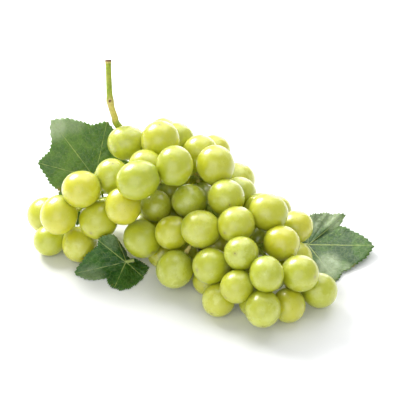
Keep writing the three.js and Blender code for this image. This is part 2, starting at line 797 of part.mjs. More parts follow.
function meshOf(solid, name, colour) {
  const data = solid.getMesh();
  const geometry = geometryOf(Array.from(data.vertProperties), Array.from(data.triVerts));
  geometry.rotateZ(TURN);
  const mesh = new THREE.Mesh(geometry, new THREE.MeshStandardMaterial({ color: colour, roughness: 0.5 }));
  mesh.name = name;
  return mesh;
}

// Moves everything so that the middle of the box's underside is the origin
function centreOnSurface(group) {
  const box = new THREE.Box3().setFromObject(group);
  const middle = box.getCenter(new THREE.Vector3());
  for (const mesh of group.children) mesh.geometry.translate(-middle.x, -middle.y, -box.min.z);
}

function buildBunch() {
  const berries = allBerries();
  const curve = mainStemCurve();
  const stems = sideStems(curve);
  for (const berry of berries) berry.root = stemRoot(berry, berries, stems, curve);
  const group = new THREE.Group();
  group.add(meshOf(stalkSolid(berries, curve, stems, 0), "stalk", STALK_COLOUR));
  group.add(meshOf(berriesSolid(berries, curve, stems), "berries", BERRY_COLOUR));
  for (const leaf of LEAVES) group.add(meshOf(leafSolid(leaf, berries), leaf.name, LEAF_COLOUR));
  centreOnSurface(group);
  return group;
}

export default buildBunch();
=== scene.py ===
"""Looks of a bunch of white grapes on its side, with three vine leaves tucked under it."""

import math

import bpy
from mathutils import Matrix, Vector


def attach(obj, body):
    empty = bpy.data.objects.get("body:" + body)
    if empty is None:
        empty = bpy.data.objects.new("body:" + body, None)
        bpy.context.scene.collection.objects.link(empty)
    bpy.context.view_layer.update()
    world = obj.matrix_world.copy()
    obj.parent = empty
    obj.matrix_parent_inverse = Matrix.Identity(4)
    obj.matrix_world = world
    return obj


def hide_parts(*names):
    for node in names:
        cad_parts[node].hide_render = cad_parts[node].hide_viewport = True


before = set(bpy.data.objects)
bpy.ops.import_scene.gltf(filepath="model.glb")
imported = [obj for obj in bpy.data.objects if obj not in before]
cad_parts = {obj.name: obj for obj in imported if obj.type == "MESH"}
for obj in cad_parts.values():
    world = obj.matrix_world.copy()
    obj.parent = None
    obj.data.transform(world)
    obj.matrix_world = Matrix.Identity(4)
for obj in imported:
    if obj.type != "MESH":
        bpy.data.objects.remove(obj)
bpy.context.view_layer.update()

# Placing rule of the solids, in millimetres, repeated from the part's source

PRESS = 1.3
FOOT_FLAT = 0.45
NEAR_SURFACE = 1.9
LEAST_TOUCH = 0.9
MM_PER_PIXEL = 0.625
MIDDLE_PIXEL = 200
VIEW_DISTANCE = 900
VIEW_RISE = math.radians(35)
VIEW_CENTRE = (0.0, 0.0, 40.0)
TOWARD = (0.0, -math.cos(VIEW_RISE), math.sin(VIEW_RISE))
UPWARD = (0.0, math.sin(VIEW_RISE), math.cos(VIEW_RISE))
TURN = math.radians(42.6)
FACET_ALLOWANCE = 1.07
STEM_END_STRETCH = 1.06
SEED = 66

# Hidden berries: sizes from and to, places to try, the most kept, the least share that nearer berries
# cover, where the places start and how far they go along x, y and z, how much sooner one on the
# surface is tried, and the room left beside the stalk
HIDDEN_SIZE = (19.5, 22.5)
HIDDEN_TRIES = 24000
HIDDEN_MOST = 40
HIDDEN_COVER = 0.55
HIDDEN_FIELD = ((-105, 190), (-85, 165), (-8, 72))
HIDDEN_LOW_FIRST = 0.3
HIDDEN_CLEARANCE = 1

# How freely a seen berry moves across the view, and how firmly it is drawn back to its pixel
HELD = (0.12, 0.06)
LOOSE = (0.5, 0.02)

# Settling, closing up and drawing inward: rounds, and lengths in mm
SETTLE_ROUNDS = 400
CLOSE_ROUNDS = 120
CLOSE_EXTRA = 0.25
INWARD_STEPS = 25
INWARD_STEP = 0.6
CROSSING_PRESS = PRESS * 0.9

# How a hidden berry's cover is tried: reaches of the walk from it in pixels, and rings as shares of
# its radius
WALK = (3, 7, 11, 15, 19)
WALK_DIRECTIONS = 8
COVER_RINGS = (0.35, 0.7, 1)
COVER_DIRECTIONS = 10

# Stalk
RACHIS_RADIUS = (2.2, 1.0)
KNUCKLE_SHARE = 0.122
KNUCKLE_SCAR = (109.8, 101, -7.8)
BERRY_STEM_SINK = 2.6
STEM_DETOUR = 8
SIDE_STEM_SPACING = 15
SIDE_STEM_SPIRAL = math.radians(137.5)

# Leaves: the blade is toothed from a reach in pixels on, and each round of laying mixes a place's own
# depth, its neighbours' and the guide's in three shares
BLADE_THICKNESS = 0.8
BLADE_CLEARANCE = 1.3
LEAF_GIVE = 1.4
BLADE_STEPS = 60
BLADE_RINGS = (0.5, 1)
TOOTH_DEPTH = 1.4
TOOTH_SHAPE = (0, 1, 0.5)
TOOTHED_FROM = 12
LAY_ROUNDS = 80
LAY_SHARES = (0.42, 0.5, 0.08)
LEAF_STEM_RADIUS = 1.2

# Berries seen from the front: pixel across and down, diameter, distance toward the eye, where given
# whether it may move in the view, and for an oval one the angle of its long axis and its ratio
SEEN = [
    # shoulder round the stalk
    (127, 143, 23.8, -16, False, (0, 1.14)),
    (161, 141, 25.4, -6),
    (163, 134, 21.0, -34, True),
    (176, 140, 22.4, -30, True),
    (146, 167, 21.8, 8),
    (174.5, 166, 23.8, 21, False, (85, 1.1)),
    (138, 180, 25.4, 29, False, (20, 1.13)),
    (112, 176, 21.8, 2),
    # side wing at the left
    (81, 188, 23.8, 13),
    (59, 215, 24.2, 2, False, (70, 1.08)),
    (46, 214, 24.0, -32, True),
    (49, 239, 20.6, -16),
    (80, 244, 22.6, -9),
    (99, 220, 25.0, 2.5),
    (123, 206, 22.8, 16),
    # ridge
    (200, 154, 23.6, -12),
    (214, 152, 22.0, -32, True),
    (215.5, 165, 24.4, 7),
    (237, 180, 23.0, -24, True),
    (239, 194, 22.4, -5),
    (226, 197.5, 23.4, 16),
    (260, 209, 21.0, -3, True),
    (275, 212, 21.5, -10, True),
    (268.5, 212.5, 23.6, 18, False, (-20, 1.08)),
    (296, 227, 21.0, 6),
    # front face
    (189.5, 201, 21.8, 6),
    (156, 206, 20.2, -4),
    (142.5, 239, 23.8, 4),
    (172.5, 232.5, 21.4, 6),
    (201, 229, 23.8, 19),
    (236, 225, 23.0, 29),
    (241.5, 253.5, 21.2, 41),
    (211, 265.5, 22.6, 30),
    (281.5, 243, 21.8, 30),
    (258, 240, 20.0, 5, True),
    (218, 243, 19.0, 5, True),
    # tip
    (298, 257, 20.0, 13, True),
    (299.5, 273.5, 22.8, 44),
    (266.5, 274, 21.2, 52),
    (237.5, 286.5, 20.4, 47),
    (262.5, 308.5, 22.0, 44),
    # foot, on the surface or just above it
    (162, 259, 18.0, 0, True),
    (184, 257, 18.5, -1, True),
    (175, 269, 23.4, 12),
    (208, 280, 18.6, 16, True),
    (219, 300, 20.6, 34),
    (253, 302, 17.4, 34, True),
    (289, 304, 20.6, 38),
    (319, 289, 22.0, 27.5),
]

PEDUNCLE = [(108.3, 60, -10), (109, 80, -10), (110.3, 101, -10), (114.5, 116, -17), (121, 129, -32)]
DEEP_BERRY = (200, 178, 17.2, -34)
RACHIS = [(-24, 26, 47), (-2, 1, 41), (24, -24, 33), (46, -46, 23), (54, -54, 17)]
WING = [(-30, 32, 49), (-56, 22, 37), (-82, 5, 24)]
BODY_LINE = [(-42, 42, 34), (-22, 26, 31), (0, 4, 29), (26, -22, 25), (50, -46, 17)]
BODY = {"width": 1.3, "start": 24, "full": 31, "tip": 14}
WING_BODY = {"width": 1.0, "start": 20, "full": 20, "tip": 13}


def plus(a, b, share=1.0):
    return (a[0] + b[0] * share, a[1] + b[1] * share, a[2] + b[2] * share)


def minus(a, b):
    return (a[0] - b[0], a[1] - b[1], a[2] - b[2])


def dot(a, b):
    return a[0] * b[0] + a[1] * b[1] + a[2] * b[2]


def length(a):
    return math.sqrt(dot(a, a))


def unit(a):
    size = length(a)
    return (a[0] / size, a[1] / size, a[2] / size)


def smoothstep(value, low, high):
    share = min(1.0, max(0.0, (value - low) / (high - low)))
    return share * share * (3 - 2 * share)


def from_view(px, py, toward):
    """A place given by its pixel in the view and its distance in front of the view's centre."""
    scale = MM_PER_PIXEL * (1 - toward / VIEW_DISTANCE)
    place = plus(VIEW_CENTRE, (1.0, 0.0, 0.0), (px - MIDDLE_PIXEL) * scale)
    place = plus(place, UPWARD, (MIDDLE_PIXEL - py) * scale)
    return plus(place, TOWARD, toward)


def to_view(place):
    offset = minus(place, VIEW_CENTRE)
    toward = dot(offset, TOWARD)
    scale = MM_PER_PIXEL * (1 - toward / VIEW_DISTANCE)
    return MIDDLE_PIXEL + offset[0] / scale, MIDDLE_PIXEL - dot(offset, UPWARD) / scale, toward, scale


class Berry:
    """One berry: where its middle is, how large it is, and how freely it moves."""

    def __init__(self, place, size, free_view, hold, sight=None, oval=None, rank=0.0):
        self.place = place
        self.radius = size / 2
        self.free_view = free_view
        self.hold = hold
        self.sight = sight
        self.oval = oval
        self.rank = rank
        self.root = None


def seen_berry(px, py, size, toward, loose=False, oval=None):
    freedom = LOOSE if loose else HELD
    return Berry(from_view(px, py, toward), size, *freedom, (px, py), oval)


def giving(berry, direction):
    """How far a berry gives way to a push: freely in depth, less across the view."""
    depth = dot(direction, TOWARD)
    in_depth = (TOWARD[0] * depth, TOWARD[1] * depth, TOWARD[2] * depth)
    return plus(in_depth, minus(direction, in_depth), berry.free_view)


def shift_pair(first, second, direction, amount):
    move_first = giving(first, direction)
    move_second = giving(second, direction)
    total = dot(move_first, direction) + dot(move_second, direction)
    first.place = plus(first.place, move_first, -amount / total)
    second.place = plus(second.place, move_second, amount / total)


def push_apart(first, second):
    between = minus(second.place, first.place)
    distance = length(between)
    crossing = first.radius + second.radius - PRESS - distance
    if crossing > 0:
        shift_pair(first, second, tuple(part / distance for part in between), crossing)


def rest_low(berry, reach):
    """Sets a berry on the surface if it is below it or less than a reach above it."""
    lowest = berry.radius - FOOT_FLAT
    if berry.place[2] < lowest + reach:
        berry.place = (berry.place[0], berry.place[1], lowest)


def push_all(berries):
    for i, first in enumerate(berries):
        for second in berries[i + 1:]:
            push_apart(first, second)
    for berry in berries:
        rest_low(berry, 0)


def settle(berries, rounds):
    """Pushes crossing berries apart, round by round, and holds each near its place in the view."""
    for _ in range(rounds):
        for berry in berries:
            toward = to_view(berry.place)[2]
            wanted = from_view(*berry.sight, toward)
            berry.place = plus(berry.place, minus(wanted, berry.place), berry.hold)
        push_all(berries)


def nearest_on_run(run, place):
    """The nearest point of a run of straight stretches, its distance, and how far along it lies."""
    best = None
    for i in range(len(run) - 1):
        along = minus(run[i + 1], run[i])
        share = min(1.0, max(0.0, dot(minus(place, run[i]), along) / dot(along, along)))
        foot = plus(run[i], along, share)
        distance = length(minus(foot, place))
        if best is None or distance < best[1]:
            best = (foot, distance, (i + share) / (len(run) - 1))
    return best


def depth_in_body(run, body, place):
    foot, distance, along = nearest_on_run(run, place)
    rise = smoothstep(along, 0, 0.35)
    fall = smoothstep(along, 0.45, 1)
    half = body["start"] + (body["full"] - body["start"]) * rise - (body["full"] - body["tip"]) * fall
    offset = minus(place, foot)
    reach = math.hypot(offset[0] / body["width"], offset[1] / body["width"], offset[2])
    return reach / half, distance, foot


def stalk_entry():
    return from_view(*PEDUNCLE[-1])


def nearest_stem(place):
    """Depth in the bunch, distance from the stalk, and the nearest point of the middle line."""
    main = depth_in_body(BODY_LINE, BODY, place)
    wing = depth_in_body(WING, WING_BODY, place)
    stalk = nearest_on_run([stalk_entry()] + RACHIS, place)
    nearest = main if main[0] < wing[0] else wing
    return nearest[0], min(stalk[1], wing[1]), nearest[2]


def seeded_draw(seed):
    state = seed
    while True:
        state = (state * 1664525 + 1013904223) % 4294967296
        yield state / 4294967296


def hidden_candidates():
    """Places to try for berries behind the seen ones, the deepest first."""
    draw = seeded_draw(SEED)
    along, across, rise = HIDDEN_FIELD
    candidates = []
    for _ in range(HIDDEN_TRIES):
        size = HIDDEN_SIZE[0] + (HIDDEN_SIZE[1] - HIDDEN_SIZE[0]) * next(draw)
        height = max(0, rise[1] * next(draw) + rise[0])
        x = along[0] + along[1] * next(draw)
        y = across[0] + across[1] * next(draw)
        place = (x, y, size / 2 - FOOT_FLAT + height)
        share, distance, _ = nearest_stem(place)
        if share > 1 or distance < size / 2 + RACHIS_RADIUS[0]:
            continue
        if not before_leaf(LEAVES[0], place, size / 2):
            continue
        rank = share - (HIDDEN_LOW_FIRST if height == 0 else 0)
        candidates.append(Berry(place, size, 1, 0, rank=rank))
    return sorted(candidates, key=lambda berry: berry.rank)


def crosses(place, radius, other):
    return length(minus(place, other.place)) < radius + other.radius - CROSSING_PRESS


def draw_inward(berry, others):
    for _ in range(INWARD_STEPS):
        _, distance, foot = nearest_stem(berry.place)
        target = plus(berry.place, unit(minus(foot, berry.place)), INWARD_STEP)
        target = (target[0], target[1], max(berry.radius - FOOT_FLAT, target[2]))
        blocked = any(crosses(target, berry.radius, other) for other in others)
        if blocked or distance < berry.radius + RACHIS_RADIUS[0] + HIDDEN_CLEARANCE:
            return
        berry.place = target


def covers(disc, px, py):
    return math.hypot(px - disc[0], py - disc[1]) < disc[4] / disc[3]


def enclosed(discs, px, py):
    """Whether a walk from a place in the view meets a berry in every direction."""
    for step in range(WALK_DIRECTIONS):
        angle = step / WALK_DIRECTIONS * 2 * math.pi
        across, down = math.cos(angle), math.sin(angle)
        walk = ((px + across * reach, py + down * reach) for reach in WALK)
        if not any(covers(disc, *spot) for spot in walk for disc in discs):
            return False
    return True


def covered_share(place, radius, berries):
    """How much of a berry the nearer ones cover, or 0 if it would be seen past the outline."""
    px, py, toward, scale = to_view(place)
    discs = [(*to_view(berry.place), berry.radius) for berry in berries]
    nearer = [disc for disc in discs if disc[2] > toward]
    covered = 0
    for ring in COVER_RINGS:
        for step in range(COVER_DIRECTIONS):
            angle = step / COVER_DIRECTIONS * 2 * math.pi
            across, down = math.cos(angle) * radius, math.sin(angle) * radius
            spot = (px + across * ring / scale, py + down * ring / scale)
            if any(covers(disc, *spot) for disc in nearer):
                covered += 1
            elif not enclosed(discs, *spot):
                return 0
    return covered / (len(COVER_RINGS) * COVER_DIRECTIONS)


def hidden_berries(seen):
    kept = []
    for candidate in hidden_candidates():
        if len(kept) >= HIDDEN_MOST:
            break
        others = seen + kept
        if any(crosses(candidate.place, candidate.radius, other) for other in others):
            continue
        draw_inward(candidate, others)
        if covered_share(candidate.place, candidate.radius, others) >= HIDDEN_COVER:
            kept.append(candidate)
    return kept


def pair_gaps(berries):
    for i, first in enumerate(berries):
        for j in range(i + 1, len(berries)):
            reach = first.radius + berries[j].radius
            yield i, j, length(minus(first.place, berries[j].place)) - reach


def touching_groups(berries):
    """For each berry, the leader of the group that it hangs together with."""
    group = list(range(len(berries)))

    def leader(index):
        while group[index] != index:
            index = group[index]
        return index

    for i, j, gap in pair_gaps(berries):
        if gap < -LEAST_TOUCH:
            group[leader(i)] = leader(j)
    return [leader(index) for index in range(len(berries))]


def close_up(berries):
    """Draws separate groups together until all berries touch."""
    for _ in range(CLOSE_ROUNDS):
        leaders = touching_groups(berries)
        apart = [(gap, i, j) for i, j, gap in pair_gaps(berries) if leaders[i] != leaders[j]]
        if not apart:
            return
        gap, i, j = min(apart)
        direction = unit(minus(berries[j].place, berries[i].place))
        shift_pair(berries[i], berries[j], direction, -(gap + LEAST_TOUCH + CLOSE_EXTRA))
        push_all(berries)


def all_berries():
    seen = [seen_berry(*row) for row in SEEN]
    settle(seen, SETTLE_ROUNDS)
    berries = seen + hidden_berries(seen)
    for berry in berries:
        rest_low(berry, NEAR_SURFACE)
    close_up(berries)
    for berry in berries:
        rest_low(berry, NEAR_SURFACE / 3)
    px, py, size, toward = DEEP_BERRY
    return berries + [Berry(from_view(px, py, toward), size, *HELD)]


# Leaves as seen from the front: the pixel where the veins meet, the angle of the middle lobe, the
# stem's length, and corners round that pixel, each an angle in degrees and a reach in pixels. span is
# the reach within which hidden berries keep clear of the leaf, and fold its crease's angle and rise.
# Then come the angles and reaches of the main veins, and pale patches of painted sheen, each by its
# middle's angle and reach, its radius and its strength: a lamp's reflection painted on the glossy blade.

LEAVES = [
    {
        "name": "leaf_back",
        "centre": (95, 178),
        "middle": 127,
        "stem": 18,
        "span": 78,
        "corners": [
            (17, 38), (45, 40), (60, 50), (78, 59), (95, 54.5), (105, 61), (127, 75), (139, 59),
            (150, 54), (164, 61), (176, 52), (200, 40), (222, 46), (243, 54), (268, 46), (287, 32),
            (307, 6), (340, 22),
        ],
        "fold": None,
        "veins": [(127, 75), (78, 58), (165, 60), (212, 38), (28, 38)],
        "wax_and_sheen": [(128, 70, 20, 0.95), (112, 62, 16, 0.45)],
    },
    {
        "name": "leaf_front",
        "centre": (126, 262),
        "middle": 192.8,
        "stem": 8,
        "corners": [
            (8, 13), (40, 5), (80, 6), (102, 17), (113, 30), (122, 34), (141, 37.5), (151, 33.5),
            (164, 39), (180, 46), (192.8, 54.5), (202, 46), (211, 36), (220, 26), (232, 30),
            (258, 30), (295, 25.5), (329, 23.5), (346, 25),
        ],
        "fold": None,
        "veins": [(192.8, 54.5), (141, 37), (246, 30), (112, 28), (318, 24)],
        "wax_and_sheen": [(205, 38, 15, 0.4), (120, 26, 12, 0.25)],
    },
    {
        "name": "leaf_side",
        "centre": (308, 245),
        "middle": -0.8,
        "stem": 14,
        "corners": [
            (-0.8, 68), (8, 58), (18, 48), (25, 43), (31, 38.5), (39, 50), (52, 41), (73, 34.5),
            (94, 30), (130, 24), (180, 6), (235, 20), (268, 27), (292, 34), (306, 47.5),
            (322, 45.5), (334, 51), (347, 60),
        ],
        "fold": (25.5, 0.24),
        "veins": [(-0.8, 68), (39, 49), (308, 47), (88, 30), (262, 26)],
        "wax_and_sheen": [
            (50, 36, 14, 0.85), (74, 24, 11, 0.7), (-46, 30, 15, 0.85), (-34, 44, 9, 0.5), (-62, 40, 10, 0.5),
        ],
    },
]


def corner_reach(leaf, degrees):
    """The reach of a leaf's outline at an angle, without teeth."""
    corners = leaf["corners"]
    first = corners[0][0]
    target = (degrees - first) % 360
    for i, (angle, reach) in enumerate(corners):
        start = (angle - first) % 360
        end = (corners[i + 1][0] - first) % 360 if i + 1 < len(corners) else 360
        if start <= target <= end:
            following = corners[(i + 1) % len(corners)][1]
            return reach + (following - reach) * (target - start) / (end - start)
    return corners[0][1]


def outline_reach(leaf, degrees, tooth):
    reach = corner_reach(leaf, degrees)
    return reach - (TOOTH_DEPTH / MM_PER_PIXEL * (1 - TOOTH_SHAPE[tooth]) if reach > TOOTHED_FROM else 0)


def surface_depth(py, height):
    """The distance toward the eye at which a place in the view is a height above the surface."""
    rise = (MIDDLE_PIXEL - py) * MM_PER_PIXEL
    start = VIEW_CENTRE[2] + rise * UPWARD[2]
    return (height - start) / (TOWARD[2] - rise * UPWARD[2] / VIEW_DISTANCE)


def guide_depth(leaf, dx, dy):
    """Where a leaf would lie, toward the eye, if no berry were in its way."""
    middle = math.radians(leaf["fold"][0] if leaf["fold"] else leaf["middle"])
    along = dx * math.cos(middle) + dy * math.sin(middle)
    aside = abs(-dx * math.sin(middle) + dy * math.cos(middle))
    if leaf["name"] == "leaf_back":
        return -42 + 0.03 * along - 0.05 * aside
    if leaf["name"] == "leaf_front":
        return -12 + 0.2 * along + 0.64 * aside * smoothstep(along, -8, 10)
    return surface_depth(leaf["centre"][1] - dy, 1.6 + leaf["fold"][1] * aside)


def before_leaf(leaf, place, radius):
    px, py, toward, _ = to_view(place)
    dx = px - leaf["centre"][0]
    dy = leaf["centre"][1] - py
    if math.hypot(dx, dy) > leaf["span"]:
        return True
    return toward - radius + LEAF_GIVE > guide_depth(leaf, dx, dy)


def clear_depth(px, py, guide, depth, discs, thickness):
    """The depth nearest to the one given that clears every berry, on the guide's side of it."""
    for disc_px, disc_py, toward, scale, radius in discs:
        reach = radius * FACET_ALLOWANCE + BLADE_CLEARANCE + (thickness - BLADE_THICKNESS) / 2
        offset = math.hypot(px - disc_px, py - disc_py) * scale
        if offset >= reach:
            continue
        half = math.sqrt(reach * reach - offset * offset)
        depth = max(depth, toward + half) if guide > toward else min(depth, toward - half)
    return max(depth, surface_depth(py, thickness / 2 + 0.15))


def blade_neighbours(index):
    if index == 0:
        return list(range(1, 1 + BLADE_STEPS))
    ring, step = divmod(index - 1, BLADE_STEPS)
    first = 1 + ring * BLADE_STEPS
    near = [first + (step + 1) % BLADE_STEPS, first + (step - 1) % BLADE_STEPS]
    near.append(0 if ring == 0 else index - BLADE_STEPS)
    if ring + 1 < len(BLADE_RINGS):
        near.append(index + BLADE_STEPS)
    return near


def lay_leaf(leaf, discs):
    """Depths of the coarse blade's places: its middle, then each ring."""
    spots = [(0.0, 0.0)]
    for ring in BLADE_RINGS:
        for step in range(BLADE_STEPS):
            degrees = step / BLADE_STEPS * 360
            reach = outline_reach(leaf, degrees, step % len(TOOTH_SHAPE)) * ring
            angle = math.radians(degrees)
            spots.append((math.cos(angle) * reach, math.sin(angle) * reach))
    centre = leaf["centre"]
    guides = [guide_depth(leaf, dx, dy) for dx, dy in spots]
    near = [blade_neighbours(index) for index in range(len(spots))]
    depths = list(guides)
    own, shared, guided = LAY_SHARES
    for turn in range(LAY_ROUNDS):
        depths = [
            clear_depth(centre[0] + dx, centre[1] - dy, guide, depth, discs, BLADE_THICKNESS)
            for (dx, dy), guide, depth in zip(spots, guides, depths)
        ]
        if turn == LAY_ROUNDS - 1:
            break
        depths = [
            own * depth + shared * sum(depths[other] for other in around) / len(around) + guided * guide
            for depth, around, guide in zip(depths, near, guides)
        ]
    return depths


# Looks. Places and sizes stay in mm, and a leaf's reaches in pixels, until in_frame takes them to the
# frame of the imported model, in metres. A berry's shape is in shares of its radius, its dents in metres.

MM = 0.001
SHIFT = (6.2449, -2.010273, 0.0)
BERRY_ROUND = 36
BERRY_HIGH = 26
BERRY_FULLNESS = 1.012
BERRY_SWELL = 0.012
BERRY_RIBS = 0.004
STEM_DIMPLE = 0.055
DIMPLE_SHARE = 0.22
SCAR_HEIGHT = 0.012
SCAR_SHARE = 0.06
DENT_DEPTH = 0.00056
DENTS_PER_METRE = 75.0
DENT_MIDDLE = 0.55
STEM_SIDES = 14
STEM_RIDGES = 5.0
RIDGE_DEPTH = 0.035
MAIN_STEPS = 150
BERRY_STEM_RADIUS = 0.78
LEAF_STEPS = 600
LEAF_RINGS = 24
SERRATIONS = 92
SERRATION_DEPTH = 1.9
SERRATION_RISE = 0.62
SERRATED_FROM = 0.86
PUCKER_HEIGHT = 0.3
VEIN_SINK = 0.1
RIB_HEIGHT = 0.22
BLADE_HALF = 0.34
RIM_THINNING = 0.14
VEIN_REGION = 60
VEIN_SPACING = 6.5
VEIN_LEAN = 0.95


def in_frame(place):
    """A place of the rule, turned and shifted as the solids are, in metres."""
    x = place[0] * math.cos(TURN) - place[1] * math.sin(TURN) + SHIFT[0]
    y = place[0] * math.sin(TURN) + place[1] * math.cos(TURN) + SHIFT[1]
    return Vector((x * MM, y * MM, (place[2] + SHIFT[2]) * MM))


def turned(direction):
    x = direction[0] * math.cos(TURN) - direction[1] * math.sin(TURN)
    y = direction[0] * math.sin(TURN) + direction[1] * math.cos(TURN)
    return Vector((x, y, direction[2])).normalized()


def curve_points(controls, steps):
    """Places along a smooth curve through the controls, evenly spread by stretch."""
    ends = [minus(controls[0], minus(controls[1], controls[0]))]
    ends += list(controls)
    ends.append(plus(controls[-1], minus(controls[-1], controls[-2])))
    places = []
    for k in range(len(controls) - 1):
        four = ends[k:k + 4]
        for step in range(steps):
            t = step / steps
            weights = (
                -0.5 * t + t * t - 0.5 * t ** 3,
                1 - 2.5 * t * t + 1.5 * t ** 3,
                0.5 * t + 2 * t * t - 1.5 * t ** 3,
                -0.5 * t * t + 0.5 * t ** 3,
            )
            places.append(tuple(sum(w * p[i] for w, p in zip(weights, four)) for i in range(3)))
    places.append(tuple(controls[-1]))
    return places


class Run:
    """A smooth run of places in mm, and the share of its length reached at each."""

    def __init__(self, controls, steps):
        self.places = curve_points(controls, steps)
        reached = [0.0]
        for a, b in zip(self.places, self.places[1:]):
            reached.append(reached[-1] + math.dist(a, b))
        self.total = reached[-1]
        self.shares = [value / self.total for value in reached]

    def at(self, share):
        """The place and the direction at a share of the run's length."""
        i = 0
        while share > self.shares[i + 1] and i < len(self.places) - 2:
            i += 1
        part = (share - self.shares[i]) / (self.shares[i + 1] - self.shares[i])
        along = minus(self.places[i + 1], self.places[i])
        return plus(self.places[i], along, part), unit(along)


def cross(a, b):
    return (a[1] * b[2] - a[2] * b[1], a[2] * b[0] - a[0] * b[2], a[0] * b[1] - a[1] * b[0])


def side_stem(start, forward, number, reach):
    flat = unit(cross(forward, (0, 0, 1)))
    angle = number * SIDE_STEM_SPIRAL + 0.6
    outward = plus(tuple(part * math.cos(angle) for part in flat), cross(forward, flat), math.sin(angle))
    end = plus(plus(start, outward, reach), forward, reach * 0.45)
    return start, (end[0], end[1], max(end[2], 4))


def side_stems(main, wing):
    stems = []
    along = 0.46 * main.total
    while along < 0.985 * main.total:
        share = along / main.total
        stems.append(side_stem(*main.at(share), len(stems), 19 - 8 * share))
        along += SIDE_STEM_SPACING * 0.62
    for n in range(4):
        stems.append(side_stem(*wing.at(0.3 + 0.22 * n), n, 9))
    return stems


def crossing_cost(start, berry, berries):
    run = [start, berry.place]
    sunk = (other.radius - nearest_on_run(run, other.place)[1] for other in berries if other is not berry)
    return sum(depth * STEM_DETOUR for depth in sunk if depth > 0)


def stem_root(berry, berries, stems, main, wing):
    """Where a berry's own stem leaves the stalk: near the berry, and with few berries in its way."""
    places = [plus(start, minus(end, start), share) for start, end in stems for share in (0.45, 0.75, 1)]
    places += [main.at(0.45 + 0.03 * n)[0] for n in range(19)]
    places += [wing.at(0.1 + 0.1 * n)[0] for n in range(10)]
    near = sorted(places, key=lambda place: math.dist(place, berry.place))[:30]
    return min(near, key=lambda place: math.dist(place, berry.place) + crossing_cost(place, berry, berries))


def mesh_object(name, vertices, faces, smooth=True, edges=()):
    mesh = bpy.data.meshes.new(name)
    mesh.from_pydata([tuple(vertex) for vertex in vertices], edges, faces)
    mesh.validate()
    mesh.polygons.foreach_set("use_smooth", [smooth] * len(mesh.polygons))
    mesh.update()
    piece = bpy.data.objects.new(name, mesh)
    bpy.context.scene.collection.objects.link(piece)
    return piece


def give_values(piece, name, values, kind="FLOAT"):
    attribute = piece.data.attributes.new(name, kind, "POINT")
    if kind == "FLOAT_VECTOR":
        attribute.data.foreach_set("vector", [part for value in values for part in value])
    else:
        attribute.data.foreach_set("value", list(values))


def ring_faces(around, rings):
    """Faces of rings of places round a middle place: triangles at the middle, then quads."""
    faces = []
    for step in range(around):
        following = (step + 1) % around
        faces.append((0, 1 + step, 1 + following))
        for ring in range(rings - 1):
            inner = 1 + ring * around
            outer = inner + around
            faces.append((inner + step, outer + step, outer + following, inner + following))
    return faces


class Nodes:
    """A node tree under construction: each call adds a node and returns what it gives."""

    def __init__(self, tree):
        self.tree = tree

    def feed(self, socket, source):
        if isinstance(source, bpy.types.NodeSocket):
            self.tree.links.new(source, socket)
        else:
            socket.default_value = source

    def add(self, kind, inputs, **settings):
        node = self.tree.nodes.new(kind)
        for name, value in settings.items():
            setattr(node, name, value)
        for name, source in inputs.items():
            self.feed(node.inputs[name], source)
        return node.outputs

    def maths(self, operation, *sources):
        return self.add("ShaderNodeMath", dict(enumerate(sources)), operation=operation)[0]


class Growth(Nodes):
    """A Geometry Nodes tree with named inputs, which grows a piece from points or runs."""

    def __init__(self, name, inputs):
        super().__init__(bpy.data.node_groups.new(name, "GeometryNodeTree"))
        sockets = self.tree.interface
        sockets.new_socket("Geometry", in_out="INPUT", socket_type="NodeSocketGeometry")
        self.values = {}
        for title, kind, value in inputs:
            socket = sockets.new_socket(title, in_out="INPUT", socket_type=kind)
            socket.default_value = value
            self.values[socket.identifier] = value
        sockets.new_socket("Geometry", in_out="OUTPUT", socket_type="NodeSocketGeometry")
        self.given = self.add("NodeGroupInput", {})

    def attribute(self, name, kind):
        return self.add("GeometryNodeInputNamedAttribute", {"Name": name}, data_type=kind)["Attribute"]

    def position(self):
        return self.add("GeometryNodeInputPosition", {})[0]

    def push(self, geometry, direction, amount):
        """Moves each place in its direction, by its amount."""
        offset = self.add("ShaderNodeVectorMath", {0: direction, "Scale": amount}, operation="SCALE")[0]
        return self.add("GeometryNodeSetPosition", {"Geometry": geometry, "Offset": offset})[0]

    def realize(self, geometry):
        return self.add("GeometryNodeRealizeInstances", {"Geometry": geometry})[0]

    def end(self, geometry, material):
        coated = self.add("GeometryNodeSetMaterial", {"Geometry": geometry, "Material": material})[0]
        self.add("NodeGroupOutput", {0: coated})

    def grow(self, piece, name):
        """A plain object holding what the tree makes of a piece; the piece itself goes."""
        modifier = piece.modifiers.new(self.tree.name, "NODES")
        modifier.node_group = self.tree
        for identifier, value in self.values.items():
            modifier[identifier] = value
        bpy.context.view_layer.update()
        graph = bpy.context.evaluated_depsgraph_get()
        mesh = bpy.data.meshes.new_from_object(piece.evaluated_get(graph))
        mesh.name = name
        plain = bpy.data.objects.new(name, mesh)
        bpy.context.scene.collection.objects.link(plain)
        bpy.data.objects.remove(piece)
        return plain


# Berries


